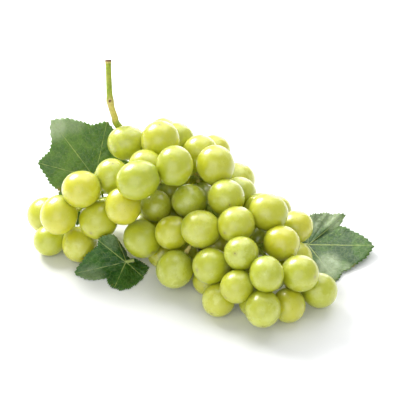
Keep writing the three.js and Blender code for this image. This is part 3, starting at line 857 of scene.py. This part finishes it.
def berry_shape():
    """One berry of radius 1, its stem end up: a dimple round the stem, a raised scar at the other end."""
    vertices = [(0, 0, -1 + SCAR_HEIGHT)]
    ends = [-1.0]
    for ring in range(1, BERRY_HIGH):
        angle = math.pi * ring / BERRY_HIGH
        height, reach = -math.cos(angle), math.sin(angle)
        dimple = STEM_DIMPLE * math.exp(-((reach / DIMPLE_SHARE) ** 2)) if height > 0 else 0
        scar = SCAR_HEIGHT * math.exp(-((reach / SCAR_SHARE) ** 2)) if height < 0 else 0
        swell = 1 + BERRY_SWELL * math.sin(2.2 * angle)
        for side in range(BERRY_ROUND):
            turn = 2 * math.pi * side / BERRY_ROUND
            rib = 1 + BERRY_RIBS * math.sin(3 * turn + 1) * reach
            width = reach * swell * rib
            vertices.append((width * math.cos(turn), width * math.sin(turn), height - dimple + scar))
            ends.append(height)
    vertices.append((0, 0, 1 - STEM_DIMPLE))
    ends.append(1.0)
    faces = [(face[0], *reversed(face[1:])) for face in ring_faces(BERRY_ROUND, BERRY_HIGH - 1)]
    top = len(vertices) - 1
    last = top - BERRY_ROUND
    faces += [(last + side, last + (side + 1) % BERRY_ROUND, top) for side in range(BERRY_ROUND)]
    shape = mesh_object("berry_shape", vertices, faces)
    give_values(shape, "stem_end", ends)
    return shape


def berry_growth(shape, skin):
    """A berry at each point, sized and turned by the point's own values, flat where it lies."""
    tree = Growth("berries_on_points", [
        ("Dent Depth", "NodeSocketFloat", DENT_DEPTH),
        ("Dents Per Metre", "NodeSocketFloat", DENTS_PER_METRE),
    ])
    placed = tree.add("GeometryNodeInstanceOnPoints", {
        "Points": tree.given["Geometry"],
        "Instance": tree.add("GeometryNodeObjectInfo", {"Object": shape})["Geometry"],
        "Rotation": tree.attribute("turn", "FLOAT_VECTOR"),
        "Scale": tree.attribute("size", "FLOAT_VECTOR"),
    })["Instances"]
    noise = {"Vector": tree.position(), "Scale": tree.given["Dents Per Metre"], "Detail": 1.0}
    dents = tree.maths("SUBTRACT", tree.add("ShaderNodeTexNoise", noise)["Fac"], DENT_MIDDLE)
    depth = tree.maths("MULTIPLY", dents, tree.given["Dent Depth"])
    dented = tree.push(tree.realize(placed), tree.add("GeometryNodeInputNormal", {})[0], depth)
    parts = tree.add("ShaderNodeSeparateXYZ", {0: tree.position()})
    above = {"X": parts["X"], "Y": parts["Y"], "Z": tree.maths("MAXIMUM", parts["Z"], 0.0)}
    flat = tree.add("ShaderNodeCombineXYZ", above)[0]
    resting = tree.add("GeometryNodeSetPosition", {"Geometry": dented, "Position": flat})[0]
    tree.end(resting, skin)
    return tree


# Rows of the seen berries that look yellower (nearer 1) or paler and waxier than their neighbours
TINTS = {8: 0.85, 9: 0.8, 14: 0.9, 13: 0.5, 2: 0.2, 18: 0.6, 24: 0.75, 28: 0.6, 33: 0.8, 40: 0.4}
BLOOMS = {18: 1.0, 16: 0.8, 2: 0.7, 36: 0.6, 6: 0.15, 5: 0.2}

# Rows of the seen berries whose far-end scar is turned from the stem's line: how far right and up of
# the middle it is seen, as shares of the radius
SCARS = {
    8: (-0.9, -0.3), 14: (0.3, -0.94), 29: (0.95, -0.2), 31: (-0.38, 0.03), 33: (0.93, -0.25),
    37: (0.74, -0.14), 38: (0.2, -0.96),
}


def berry_long_axis(number, berry):
    if number in SCARS:
        right, up = SCARS[number]
        toward = math.sqrt(1 - right * right - up * up)
        scar = plus(plus((right, 0.0, 0.0), UPWARD, up), TOWARD, toward)
        return tuple(-part for part in scar), STEM_END_STRETCH
    if berry.oval is None:
        return unit(minus(berry.root, berry.place)), STEM_END_STRETCH
    angle = math.radians(berry.oval[0])
    axis = plus((math.cos(angle), 0.0, 0.0), UPWARD, math.sin(angle))
    return axis, berry.oval[1]


def make_berries(berries, skin):
    draw = seeded_draw(SEED + 1)
    places, turns, sizes, tints, blooms = [], [], [], [], []
    for number, berry in enumerate(berries):
        axis, ratio = berry_long_axis(number, berry)
        if berry.oval is not None and dot(axis, minus(berry.root, berry.place)) < 0:
            axis = tuple(-part for part in axis)
        upright = turned(axis).to_track_quat("Z", "Y")
        width = berry.radius * BERRY_FULLNESS / math.sqrt(ratio) * MM
        places.append(in_frame(berry.place))
        turns.append(upright.to_euler())
        sizes.append((width, width, width * ratio))
        tints.append(TINTS.get(number, 0.25 + 0.5 * next(draw)))
        blooms.append(BLOOMS.get(number, 0.2 + 0.5 * next(draw)))
    points = mesh_object("berry_points", places, [])
    give_values(points, "turn", turns, "FLOAT_VECTOR")
    give_values(points, "size", sizes, "FLOAT_VECTOR")
    give_values(points, "tint", tints)
    give_values(points, "bloom_and_sheen", blooms)
    shape = berry_shape()
    grapes = berry_growth(shape, skin).grow(points, "grape_berries")
    bpy.data.objects.remove(shape)
    return grapes


# Stalk


def stem_growth(finish):
    """A ridged round stem along each run of points, as thick as the points' own values say."""
    tree = Growth("stems_on_runs", [
        ("Sides", "NodeSocketInt", STEM_SIDES),
        ("Ridge Depth", "NodeSocketFloat", RIDGE_DEPTH),
    ])
    runs = tree.add("GeometryNodeMeshToCurve", {"Mesh": tree.given["Geometry"]})["Curve"]
    circle = {"Radius": 1.0, "Resolution": tree.given["Sides"]}
    outline = tree.add("GeometryNodeCurvePrimitiveCircle", circle)["Curve"]
    place = tree.position()
    parts = tree.add("ShaderNodeSeparateXYZ", {0: place})
    around = tree.maths("ARCTAN2", parts["Y"], parts["X"])
    wave = tree.maths("COSINE", tree.maths("MULTIPLY", around, STEM_RIDGES))
    stems = tree.add("GeometryNodeCurveToMesh", {
        "Curve": runs,
        "Profile Curve": tree.push(outline, place, tree.maths("MULTIPLY", wave, tree.given["Ridge Depth"])),
        "Scale": tree.attribute("thickness", "FLOAT"),
        "Fill Caps": True,
    })["Mesh"]
    tree.end(tree.realize(stems), finish)
    return tree


def make_stems(name, runs, finish):
    """One mesh of stems. Each run is a list of places in mm, their radii and how brown they are."""
    places, edges, thick, browns = [], [], [], []
    for run, radii, brown in runs:
        first = len(places)
        places.extend(in_frame(place) for place in run)
        edges.extend((first + n, first + n + 1) for n in range(len(run) - 1))
        thick.extend(radius * MM for radius in radii)
        browns.extend(brown)
    lines = mesh_object(name + "_runs", places, [], edges=edges)
    give_values(lines, "thickness", thick)
    give_values(lines, "brown", browns)
    stems = stem_growth(finish).grow(lines, name)
    stems.data.polygons.foreach_set("use_smooth", [True] * len(stems.data.polygons))
    return stems


def bump(share, middle, width, height):
    return height * math.exp(-(((share - middle) / width) ** 2))


def main_radius(share):
    """The main stem's radius: thinner at the cut end, swollen at the knuckle, tapering to the tip."""
    outside = smoothstep(share, 0, 0.3)
    inside = smoothstep(share, 0.35, 1)
    taper = 1.75 + 0.55 * outside + (RACHIS_RADIUS[1] - 2.3) * inside
    return taper + bump(share, 0, 0.012, 0.3) + bump(share, KNUCKLE_SHARE, 0.012, 0.5)


def main_brown(share):
    """How brown the main stem is: its dry cut end, tan below the knuckle, green elsewhere."""
    end = 1 - smoothstep(share, 0.003, 0.012)
    tan = 0.42 * smoothstep(share, KNUCKLE_SHARE - 0.012, KNUCKLE_SHARE + 0.01)
    return max(end, tan * (1 - smoothstep(share, 0.16, 0.24)), 0.06)


def mark_scar(stalk):
    """The brown scar of a broken tendril, on the front of the knuckle."""
    scar = in_frame(from_view(*KNUCKLE_SCAR))
    browns = stalk.data.attributes["brown"].data
    for vertex in stalk.data.vertices:
        near = (vertex.co - scar).length / MM
        browns[vertex.index].value = max(browns[vertex.index].value, bump(near, 0, 1.5, 1.0))


def berry_stem_run(berry):
    """The stem from the stalk into a berry, with the collar that the berry sits on."""
    inward = unit(minus(berry.root, berry.place))
    stretch = 1 if berry.oval else STEM_END_STRETCH
    end = plus(berry.place, inward, berry.radius * stretch - BERRY_STEM_SINK)
    shares = [n / 9 for n in range(10)]
    reach = math.dist(berry.root, end)
    collar = 1 - (BERRY_STEM_SINK + 1.2) / reach if reach > 6 else 0.6
    radii = [BERRY_STEM_RADIUS + bump(share, collar, 0.1, 0.75) + 0.15 * share for share in shares]
    browns = [0.1 + bump(share, collar, 0.12, 0.45) for share in shares]
    return [plus(berry.root, minus(end, berry.root), share) for share in shares], radii, browns


def make_stalk(main, wing, stems, berries, bark):
    shares = [n / MAIN_STEPS for n in range(MAIN_STEPS + 1)]
    places = [main.at(share)[0] for share in shares]
    runs = [(places, [main_radius(share) for share in shares], [main_brown(share) for share in shares])]
    count = len(wing.places)
    runs.append((wing.places, [1.8 - 0.8 * n / (count - 1) for n in range(count)], [0.1] * count))
    for start, end in stems:
        places = [plus(start, minus(end, start), n / 6) for n in range(7)]
        runs.append((places, [1.3 - 0.4 * n / 6 + bump(n / 6, 1, 0.15, 0.15) for n in range(7)], [0.1] * 7))
    runs.extend(berry_stem_run(berry) for berry in berries)
    stalk = make_stems("grape_stalk", runs, bark)
    mark_scar(stalk)
    return stalk


# Leaves


def fine_tooth(degrees):
    """Height of the outline's teeth at an angle, 0 to 1: one tooth in each three coarse steps."""
    phase = degrees * BLADE_STEPS / 360 % len(TOOTH_SHAPE)
    if phase < 1:
        return phase
    if phase < 2:
        return 1 - 0.5 * (phase - 1)
    return 0.5 - 0.5 * (phase - 2)


def fine_reach(leaf, degrees):
    """The reach of the outline at an angle, with the teeth and the fine serrations on them."""
    reach = corner_reach(leaf, degrees)
    if reach <= TOOTHED_FROM:
        return reach
    part = (degrees * SERRATIONS / 360 + 0.2 * math.sin(math.radians(degrees) * 7)) % 1
    rising = part < SERRATION_RISE
    notch = 1 - part / SERRATION_RISE if rising else (part - SERRATION_RISE) / (1 - SERRATION_RISE)
    return reach - TOOTH_DEPTH / MM_PER_PIXEL * (1 - fine_tooth(degrees)) * 0.5 - SERRATION_DEPTH * notch


def blade_slopes(leaf, depths):
    """How fast the laid blade's depth changes outward: at half its reach and at its edge."""
    slopes = []
    for row, ring in enumerate(BLADE_RINGS):
        first = 1 + row * BLADE_STEPS
        steps = []
        for step in range(BLADE_STEPS):
            reach = outline_reach(leaf, step / BLADE_STEPS * 360, step % len(TOOTH_SHAPE)) * ring
            steps.append((depths[first + step] - depths[0]) / reach)
        slopes.append(steps)
    return slopes


def slope_at(steps, degrees):
    """A smooth value between the blade's coarse directions."""
    place = degrees / 360 * BLADE_STEPS
    low = math.floor(place)
    part = place - low
    a, b, c, d = (steps[(low + n) % BLADE_STEPS] for n in (-1, 0, 1, 2))
    bend = 2 * a - 5 * b + 4 * c - d
    twist = 3 * b - a - 3 * c + d
    return b + 0.5 * part * (c - a + part * (bend + part * twist))


def laid_depth(middle, slopes, share, degrees, reach):
    """Depth of the laid blade at a reach that is a share of the whole reach in its direction."""
    inner, outer = (slope_at(steps, degrees) for steps in slopes)
    return middle + reach * (inner + (outer - inner) * max(0, 2 * share - 1))


def vein_share(leaf, dx, dy):
    """How near a place is to a vein, 1 on it: main veins, each with side veins in its region."""
    angle = math.degrees(math.atan2(dy, dx))
    reach = math.hypot(dx, dy)
    best = 0.0
    for degrees, full in leaf["veins"]:
        between = (angle - degrees + 180) % 360 - 180
        along = reach * math.cos(math.radians(between))
        aside = abs(reach * math.sin(math.radians(between)))
        if abs(between) > VEIN_REGION or along <= 0:
            continue
        width = 0.42 * (1 - 0.7 * min(1, along / full)) + 0.16
        main = math.exp(-((aside / width) ** 2)) * (1 - smoothstep(along / full, 0.93, 1.05))
        offset = 0.5 * VEIN_SPACING if between > 0 else 0
        rise = along - aside * VEIN_LEAN - offset
        nearest = abs((rise + VEIN_SPACING / 2) % VEIN_SPACING - VEIN_SPACING / 2)
        fade = (1 - smoothstep(aside, 14, 22)) * smoothstep(rise, 2, 5)
        best = max(best, main, 0.65 * math.exp(-((nearest / 0.3) ** 2)) * fade)
    return best


def painted_sheen_share(leaf, dx, dy):
    """How much painted sheen a place of the blade gets: a pale reflection painted into its colour."""
    wax_and_sheen = 0.0
    for degrees, reach, radius, strength in leaf["wax_and_sheen"]:
        angle = math.radians(degrees)
        away = math.hypot(dx - math.cos(angle) * reach, dy - math.sin(angle) * reach)
        wax_and_sheen = max(wax_and_sheen, strength * (1 - smoothstep(away, 0.45 * radius, 1.15 * radius)))
    return wax_and_sheen


class Spot:
    """A place of the blade in the view, its vein and painted sheen, and its share of the way to the edge."""

    def __init__(self, leaf, dx, dy, toward, vein, edge, wax_and_sheen):
        self.place = Vector(from_view(leaf["centre"][0] + dx, leaf["centre"][1] - dy, toward))
        self.vein = vein
        self.edge = edge
        self.wax_and_sheen = wax_and_sheen


def leaf_spots(leaf, depths):
    """The blade's places: its middle, then each ring."""
    spots = [Spot(leaf, 0, 0, depths[0], 1.0, 0.0, 0.0)]
    slopes = blade_slopes(leaf, depths)
    for ring in range(1, LEAF_RINGS + 1):
        share = ring / LEAF_RINGS
        toothed = smoothstep(share, SERRATED_FROM, 1)
        for step in range(LEAF_STEPS):
            degrees = step / LEAF_STEPS * 360
            rounded = corner_reach(leaf, degrees) - 0.5 * TOOTH_DEPTH / MM_PER_PIXEL
            reach = (rounded + (fine_reach(leaf, degrees) - rounded) * toothed) * share
            angle = math.radians(degrees)
            dx, dy = math.cos(angle) * reach, math.sin(angle) * reach
            vein = vein_share(leaf, dx, dy)
            puff = PUCKER_HEIGHT * math.sin(dx * 0.55 + 1) * math.sin(dy * 0.6) * (1 - vein)
            laid = laid_depth(depths[0], slopes, share, degrees, reach) + puff - VEIN_SINK * vein
            spots.append(Spot(leaf, dx, dy, laid, vein, share, painted_sheen_share(leaf, dx, dy)))
    return spots


def sheet_normals(spots, faces):
    sheet = bpy.data.meshes.new("sheet")
    sheet.from_pydata([tuple(spot.place) for spot in spots], [], faces)
    sheet.update()
    normals = [vertex.normal.copy() for vertex in sheet.vertices]
    bpy.data.meshes.remove(sheet)
    return normals


def closed_faces(faces, count):
    """The faces of both sides of a sheet of so many places, and those round its edge."""
    closed = faces + [tuple(index + count for index in reversed(face)) for face in faces]
    rim = count - LEAF_STEPS
    for step in range(LEAF_STEPS):
        a, b = rim + step, rim + (step + 1) % LEAF_STEPS
        closed.append((a, a + count, b + count, b))
    return closed


def make_leaf(leaf, discs, finish):
    """Blade of even thickness with sunken veins above and raised ones below, and its stem."""
    depths = lay_leaf(leaf, discs)
    spots = leaf_spots(leaf, depths)
    sheet = ring_faces(LEAF_STEPS, LEAF_RINGS)
    normals = sheet_normals(spots, sheet)
    facing = 1 if sum(normal.dot(Vector(TOWARD)) for normal in normals) > 0 else -1
    vertices, values = [], []
    for side in (1, -1):
        above = side * facing > 0
        for spot, normal in zip(spots, normals):
            thin = BLADE_HALF - RIM_THINNING * smoothstep(spot.edge, 0.9, 1)
            rib = 0.0 if above else RIB_HEIGHT * spot.vein
            moved = spot.place + normal * side * (thin + rib)
            vertices.append(in_frame((moved.x, moved.y, max(moved.z, 0.05))))
            values.append((spot.vein, float(above), spot.edge, spot.wax_and_sheen))
    faces = closed_faces(sheet, len(spots))
    blade_count = len(vertices)
    stem = leaf_stem(leaf, depths[0], discs, finish)
    vertices.extend(vertex.co.copy() for vertex in stem.data.vertices)
    values.extend([(1.0, 0.5, 0.0, 0.0)] * len(stem.data.vertices))
    faces.extend(tuple(index + blade_count for index in face.vertices) for face in stem.data.polygons)
    bpy.data.objects.remove(stem)
    piece = mesh_object("grape_" + leaf["name"], vertices, faces)
    for name, column in zip(("vein", "top", "edge", "wax_and_sheen"), zip(*values)):
        give_values(piece, name, column)
    piece.data.materials.append(finish)
    return piece


def leaf_stem(leaf, start, discs, finish):
    away = math.radians(leaf["middle"] + 180)
    controls = []
    for reach in (0, leaf["stem"] / 2, leaf["stem"]):
        px = leaf["centre"][0] + math.cos(away) * reach
        py = leaf["centre"][1] - math.sin(away) * reach
        guide = start - 0.15 * reach
        controls.append(from_view(px, py, clear_depth(px, py, guide, guide, discs, 2 * LEAF_STEM_RADIUS)))
    places = curve_points(controls, 8)
    flare = [bump(n / (len(places) - 1), 1, 0.12, 0.2) for n in range(len(places))]
    radii = [LEAF_STEM_RADIUS - 0.15 + wide for wide in flare]
    return make_stems(leaf["name"] + "_stem", [(places, radii, [0.0] * len(places))], finish)


# Finishes


class Finish(Nodes):
    """A material under construction."""

    def __init__(self, name):
        self.material = bpy.data.materials.new(name)
        self.material.use_nodes = True
        super().__init__(self.material.node_tree)
        self.tree.nodes.clear()
        self.shader = self.tree.nodes.new("ShaderNodeBsdfPrincipled")
        self.add("ShaderNodeOutputMaterial", {"Surface": self.shader.outputs[0]})
        self.place = self.add("ShaderNodeTexCoord", {})["Object"]

    def shade(self, inputs):
        for name, source in inputs.items():
            self.feed(self.shader.inputs[name], source)
        return self.material

    def attribute(self, name):
        return self.add("ShaderNodeAttribute", {}, attribute_name=name)["Fac"]

    def noise(self, scale, detail=2.0, roughness=0.5, stretch=0.0):
        inputs = {"Scale": scale, "Detail": detail, "Roughness": roughness, "Distortion": stretch}
        return self.add("ShaderNodeTexNoise", {"Vector": self.place, **inputs})["Fac"]

    def cells(self, scale, feature="F1"):
        inputs = {"Vector": self.place, "Scale": scale}
        return self.add("ShaderNodeTexVoronoi", inputs, feature=feature)["Distance"]

    def between(self, value, low, high, to_low=0.0, to_high=1.0):
        inputs = {"Value": value, "From Min": low, "From Max": high, "To Min": to_low, "To Max": to_high}
        return self.add("ShaderNodeMapRange", inputs, interpolation_type="SMOOTHSTEP")["Result"]

    def blend(self, share, first, second):
        return self.add("ShaderNodeMix", {"Factor": share, 6: first, 7: second}, data_type="RGBA")[2]

    def relief(self, height, strength, distance, under=None):
        inputs = {"Height": height, "Strength": strength, "Distance": distance}
        if under is not None:
            inputs["Normal"] = under
        return self.add("ShaderNodeBump", inputs)["Normal"]


def colour(red, green, blue):
    """A colour as a screen shows it, 0 to 255, made linear."""
    def linear(value):
        share = value / 255
        return share / 12.92 if share <= 0.04045 else ((share + 0.055) / 1.055) ** 2.4
    return (linear(red), linear(green), linear(blue), 1.0)


def grape_skin():
    """Thin translucent skin, green to yellow, with pale bloom, fine specks and a dry scar."""
    skin = Finish("grape_skin")
    bloom_and_sheen = skin.attribute("bloom_and_sheen")
    end = skin.attribute("stem_end")
    cloud = skin.noise(60, 3)
    flesh = skin.blend(skin.attribute("tint"), colour(160, 176, 8), colour(210, 204, 6))
    flesh = skin.blend(skin.between(cloud, 0.35, 0.7, 0, 0.3), flesh, colour(194, 202, 40))
    shoulder = skin.between(end, 0.45, 1.0, 0, 0.5)
    flesh = skin.blend(shoulder, flesh, colour(138, 160, 16))
    fibres = skin.noise(170, 4, 0.6, stretch=1.2)
    flesh = skin.blend(skin.between(fibres, 0.5, 0.72, 0, 0.25), flesh, colour(218, 222, 88))
    sparse = skin.between(skin.noise(240, 2), 0.46, 0.62)
    speck = skin.maths("MULTIPLY", skin.between(skin.cells(650), 0.09, 0.22, 0.55, 0), sparse)
    flesh = skin.blend(speck, flesh, colour(132, 122, 30))
    wax_and_sheen = skin.maths("MULTIPLY", skin.between(skin.noise(100, 5, 0.65), 0.42, 0.72, 0.1, 0.7), bloom_and_sheen)
    flesh = skin.blend(wax_and_sheen, flesh, colour(220, 228, 142))
    scar = skin.between(end, -0.9985, -0.9955, 1, 0)
    ring = skin.between(end, -0.998, -0.975, 0.3, 0)
    flesh = skin.blend(ring, flesh, colour(150, 140, 40))
    flesh = skin.blend(skin.maths("MULTIPLY", scar, 0.7), flesh, colour(122, 104, 40))
    dull = skin.maths("ADD", skin.between(cloud, 0.3, 0.7, 0.16, 0.24), skin.maths("MULTIPLY", wax_and_sheen, 0.35))
    pores = skin.relief(skin.noise(1500, 2), 0.1, 0.0002)
    return skin.shade({
        "Base Color": flesh,
        "Roughness": skin.maths("ADD", dull, skin.maths("MULTIPLY", scar, 0.3)),
        "Subsurface Weight": 1.0,
        "Subsurface Radius": (1.0, 0.9, 0.2),
        "Subsurface Scale": 0.012,
        "IOR": 1.42,
        "Specular IOR Level": 0.6,
        "Coat Weight": 1.0,
        "Coat IOR": 1.65,
        "Coat Roughness": 0.4,
        "Normal": skin.relief(skin.noise(160, 2), 0.18, 0.0006, pores),
    })


def stalk_bark():
    """Green stem with fine lengthwise streaks, brown and corky where it was cut or broken."""
    bark = Finish("stalk_bark")
    streak = bark.noise(420, 5, 0.65, stretch=0.6)
    patch = bark.noise(90, 3)
    green = bark.blend(bark.between(streak, 0.35, 0.65), colour(136, 158, 36), colour(176, 190, 62))
    green = bark.blend(bark.between(patch, 0.5, 0.7, 0, 0.5), green, colour(184, 180, 84))
    cork = bark.blend(bark.between(streak, 0.4, 0.6), colour(84, 52, 28), colour(136, 94, 54))
    specks = bark.between(bark.cells(900), 0.1, 0.22, 0.5, 0)
    green = bark.blend(specks, green, colour(118, 88, 48))
    brown = bark.maths("ADD", bark.attribute("brown"), bark.between(patch, 0.3, 0.7, -0.08, 0.08))
    dry = bark.blend(bark.between(streak, 0.35, 0.65), colour(196, 182, 92), colour(222, 210, 130))
    skin = bark.blend(bark.between(brown, 0.12, 0.42), green, dry)
    grain = bark.relief(streak, 0.5, 0.0006)
    return bark.shade({
        "Base Color": bark.blend(bark.between(brown, 0.5, 0.85), skin, cork),
        "Roughness": bark.between(streak, 0.3, 0.7, 0.48, 0.68),
        "Subsurface Weight": 0.1,
        "Subsurface Scale": 0.002,
        "Normal": bark.relief(bark.noise(1300, 2), 0.3, 0.0002, grain),
    })


def leaf_finish(name, dark, light, vein_colour, under, gloss):
    """Leaf: mottled blade, paler veins and a fine net between them, matte and pale below."""
    blade = Finish(name)
    vein = blade.attribute("vein")
    edge = blade.attribute("edge")
    mottle = blade.noise(70, 4, 0.6)
    net = blade.cells(330, "DISTANCE_TO_EDGE")
    green = blade.blend(blade.between(mottle, 0.35, 0.68), dark, light)
    green = blade.blend(blade.between(net, 0.0, 0.08, 0.13, 0), green, vein_colour)
    green = blade.blend(blade.between(edge, 0.9, 1.0, 0, 0.4), green, light)
    blotches = blade.between(blade.noise(130, 3), 0.62, 0.74)
    dry = blade.maths("MULTIPLY", blotches, blade.between(edge, 0.8, 1.0))
    green = blade.blend(dry, green, colour(150, 128, 62))
    green = blade.blend(blade.between(vein, 0.25, 0.95, 0, 0.85), green, vein_colour)
    # Painted sheen: pale patches where the glossy blade would reflect a lamp, painted into the colour.
    uneven = blade.between(blade.noise(240, 4, 0.7), 0.25, 0.6, 0.55, 0.95)
    bloom_and_sheen = blade.maths("MULTIPLY", blade.attribute("wax_and_sheen"), uneven)
    green = blade.blend(bloom_and_sheen, green, colour(178, 194, 152))
    below = blade.blend(blade.between(vein, 0.2, 0.9), under, vein_colour)
    return blade.shade({
        "Base Color": blade.blend(blade.attribute("top"), below, green),
        "Roughness": blade.between(mottle, 0.3, 0.7, gloss, gloss + 0.14),
        "Subsurface Weight": 0.12,
        "Subsurface Scale": 0.0015,
        "Subsurface Radius": (0.6, 1.0, 0.2),
        "Coat Weight": 0.12,
        "Coat Roughness": 0.35,
        "Normal": blade.relief(vein, 0.5, 0.0006, blade.relief(net, 0.6, 0.0009)),
    })


# Tones of each leaf: its dark and light green, its veins, its underside, and how rough it is
PALE_VEIN = colour(184, 200, 112)
TONES = {
    "leaf_back": (colour(62, 104, 18), colour(96, 134, 34), PALE_VEIN, colour(124, 150, 74), 0.34),
    "leaf_front": (colour(34, 82, 16), colour(66, 114, 30), PALE_VEIN, colour(106, 136, 64), 0.36),
    "leaf_side": (colour(34, 74, 8), colour(74, 116, 20), PALE_VEIN, colour(112, 140, 68), 0.36),
}


# The bunch


def dress(piece, node):
    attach(piece, "root")
    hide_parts(node)


def make_bunch():
    berries = all_berries()
    main = Run([from_view(*row) for row in PEDUNCLE] + RACHIS, 40)
    wing = Run(WING, 16)
    stems = side_stems(main, wing)
    for berry in berries:
        berry.root = stem_root(berry, berries, stems, main, wing)
    dress(make_berries(berries, grape_skin()), "berries")
    dress(make_stalk(main, wing, stems, berries, stalk_bark()), "stalk")
    discs = [(*to_view(berry.place), berry.radius) for berry in berries]
    for leaf in LEAVES:
        name = leaf["name"]
        dress(make_leaf(leaf, discs, leaf_finish(name + "_blade", *TONES[name])), name)


# Studio

FLOOR_HALF = 4

# Lights: distance toward the viewer, height and distance to the right of the bunch, power and width
LIGHTS = {
    "key_light": (-0.7, 0.75, -0.62, 17.0, 0.55),
    "front_light": (0.95, 0.55, -0.25, 5.0, 1.1),
    "top_light": (-0.5, 1.0, 0.2, 6.5, 1.0),
    "back_light": (-1.1, 0.3, 0.35, 3.5, 0.6),
}


def make_studio():
    corners = [(x * FLOOR_HALF, y * FLOOR_HALF, 0) for x, y in ((-1, -1), (1, -1), (1, 1), (-1, 1))]
    floor = mesh_object("studio_floor", corners, [(0, 1, 2, 3)], smooth=False)
    paper = Finish("studio_paper")
    floor.data.materials.append(paper.shade({"Base Color": (0.92, 0.92, 0.92, 1.0), "Roughness": 0.9}))
    world = bpy.data.worlds.new("studio_sky")
    world.use_nodes = True
    sky = world.node_tree.nodes["Background"].inputs
    sky["Color"].default_value = (0.93, 0.96, 1.0, 1.0)
    sky["Strength"].default_value = 0.48
    bpy.context.scene.world = world
    bpy.context.scene.view_settings.view_transform = "Standard"


def looking(name, data, place):
    """Puts a light or a camera at a place, facing the view's centre."""
    piece = bpy.data.objects.new(name, data)
    piece.location = place
    piece.rotation_euler = (in_frame(VIEW_CENTRE) - place).to_track_quat("-Z", "Y").to_euler()
    bpy.context.scene.collection.objects.link(piece)
    return piece


def softbox(name, toward, up, across, power, width):
    """A square area light given by its place as seen from the front, in metres."""
    light = bpy.data.lights.new(name, "AREA")
    light.energy = power
    light.size = width
    right, front = turned((1, 0, 0)), turned((0, -1, 0))
    place = in_frame(VIEW_CENTRE) + right * across + front * toward + Vector((0, 0, up))
    looking(name, light, place).visible_camera = False


def make_camera():
    data = bpy.data.cameras.new("front_view")
    data.sensor_width = 36.0
    data.lens = data.sensor_width * VIEW_DISTANCE / (2 * MIDDLE_PIXEL * MM_PER_PIXEL)
    data.clip_start = 0.05
    place = in_frame(VIEW_CENTRE) + turned(TOWARD) * VIEW_DISTANCE * MM
    bpy.context.scene.camera = looking("front_view", data, place)


make_camera()
make_bunch()
make_studio()
for light_name, settings in LIGHTS.items():
    softbox(light_name, *settings)
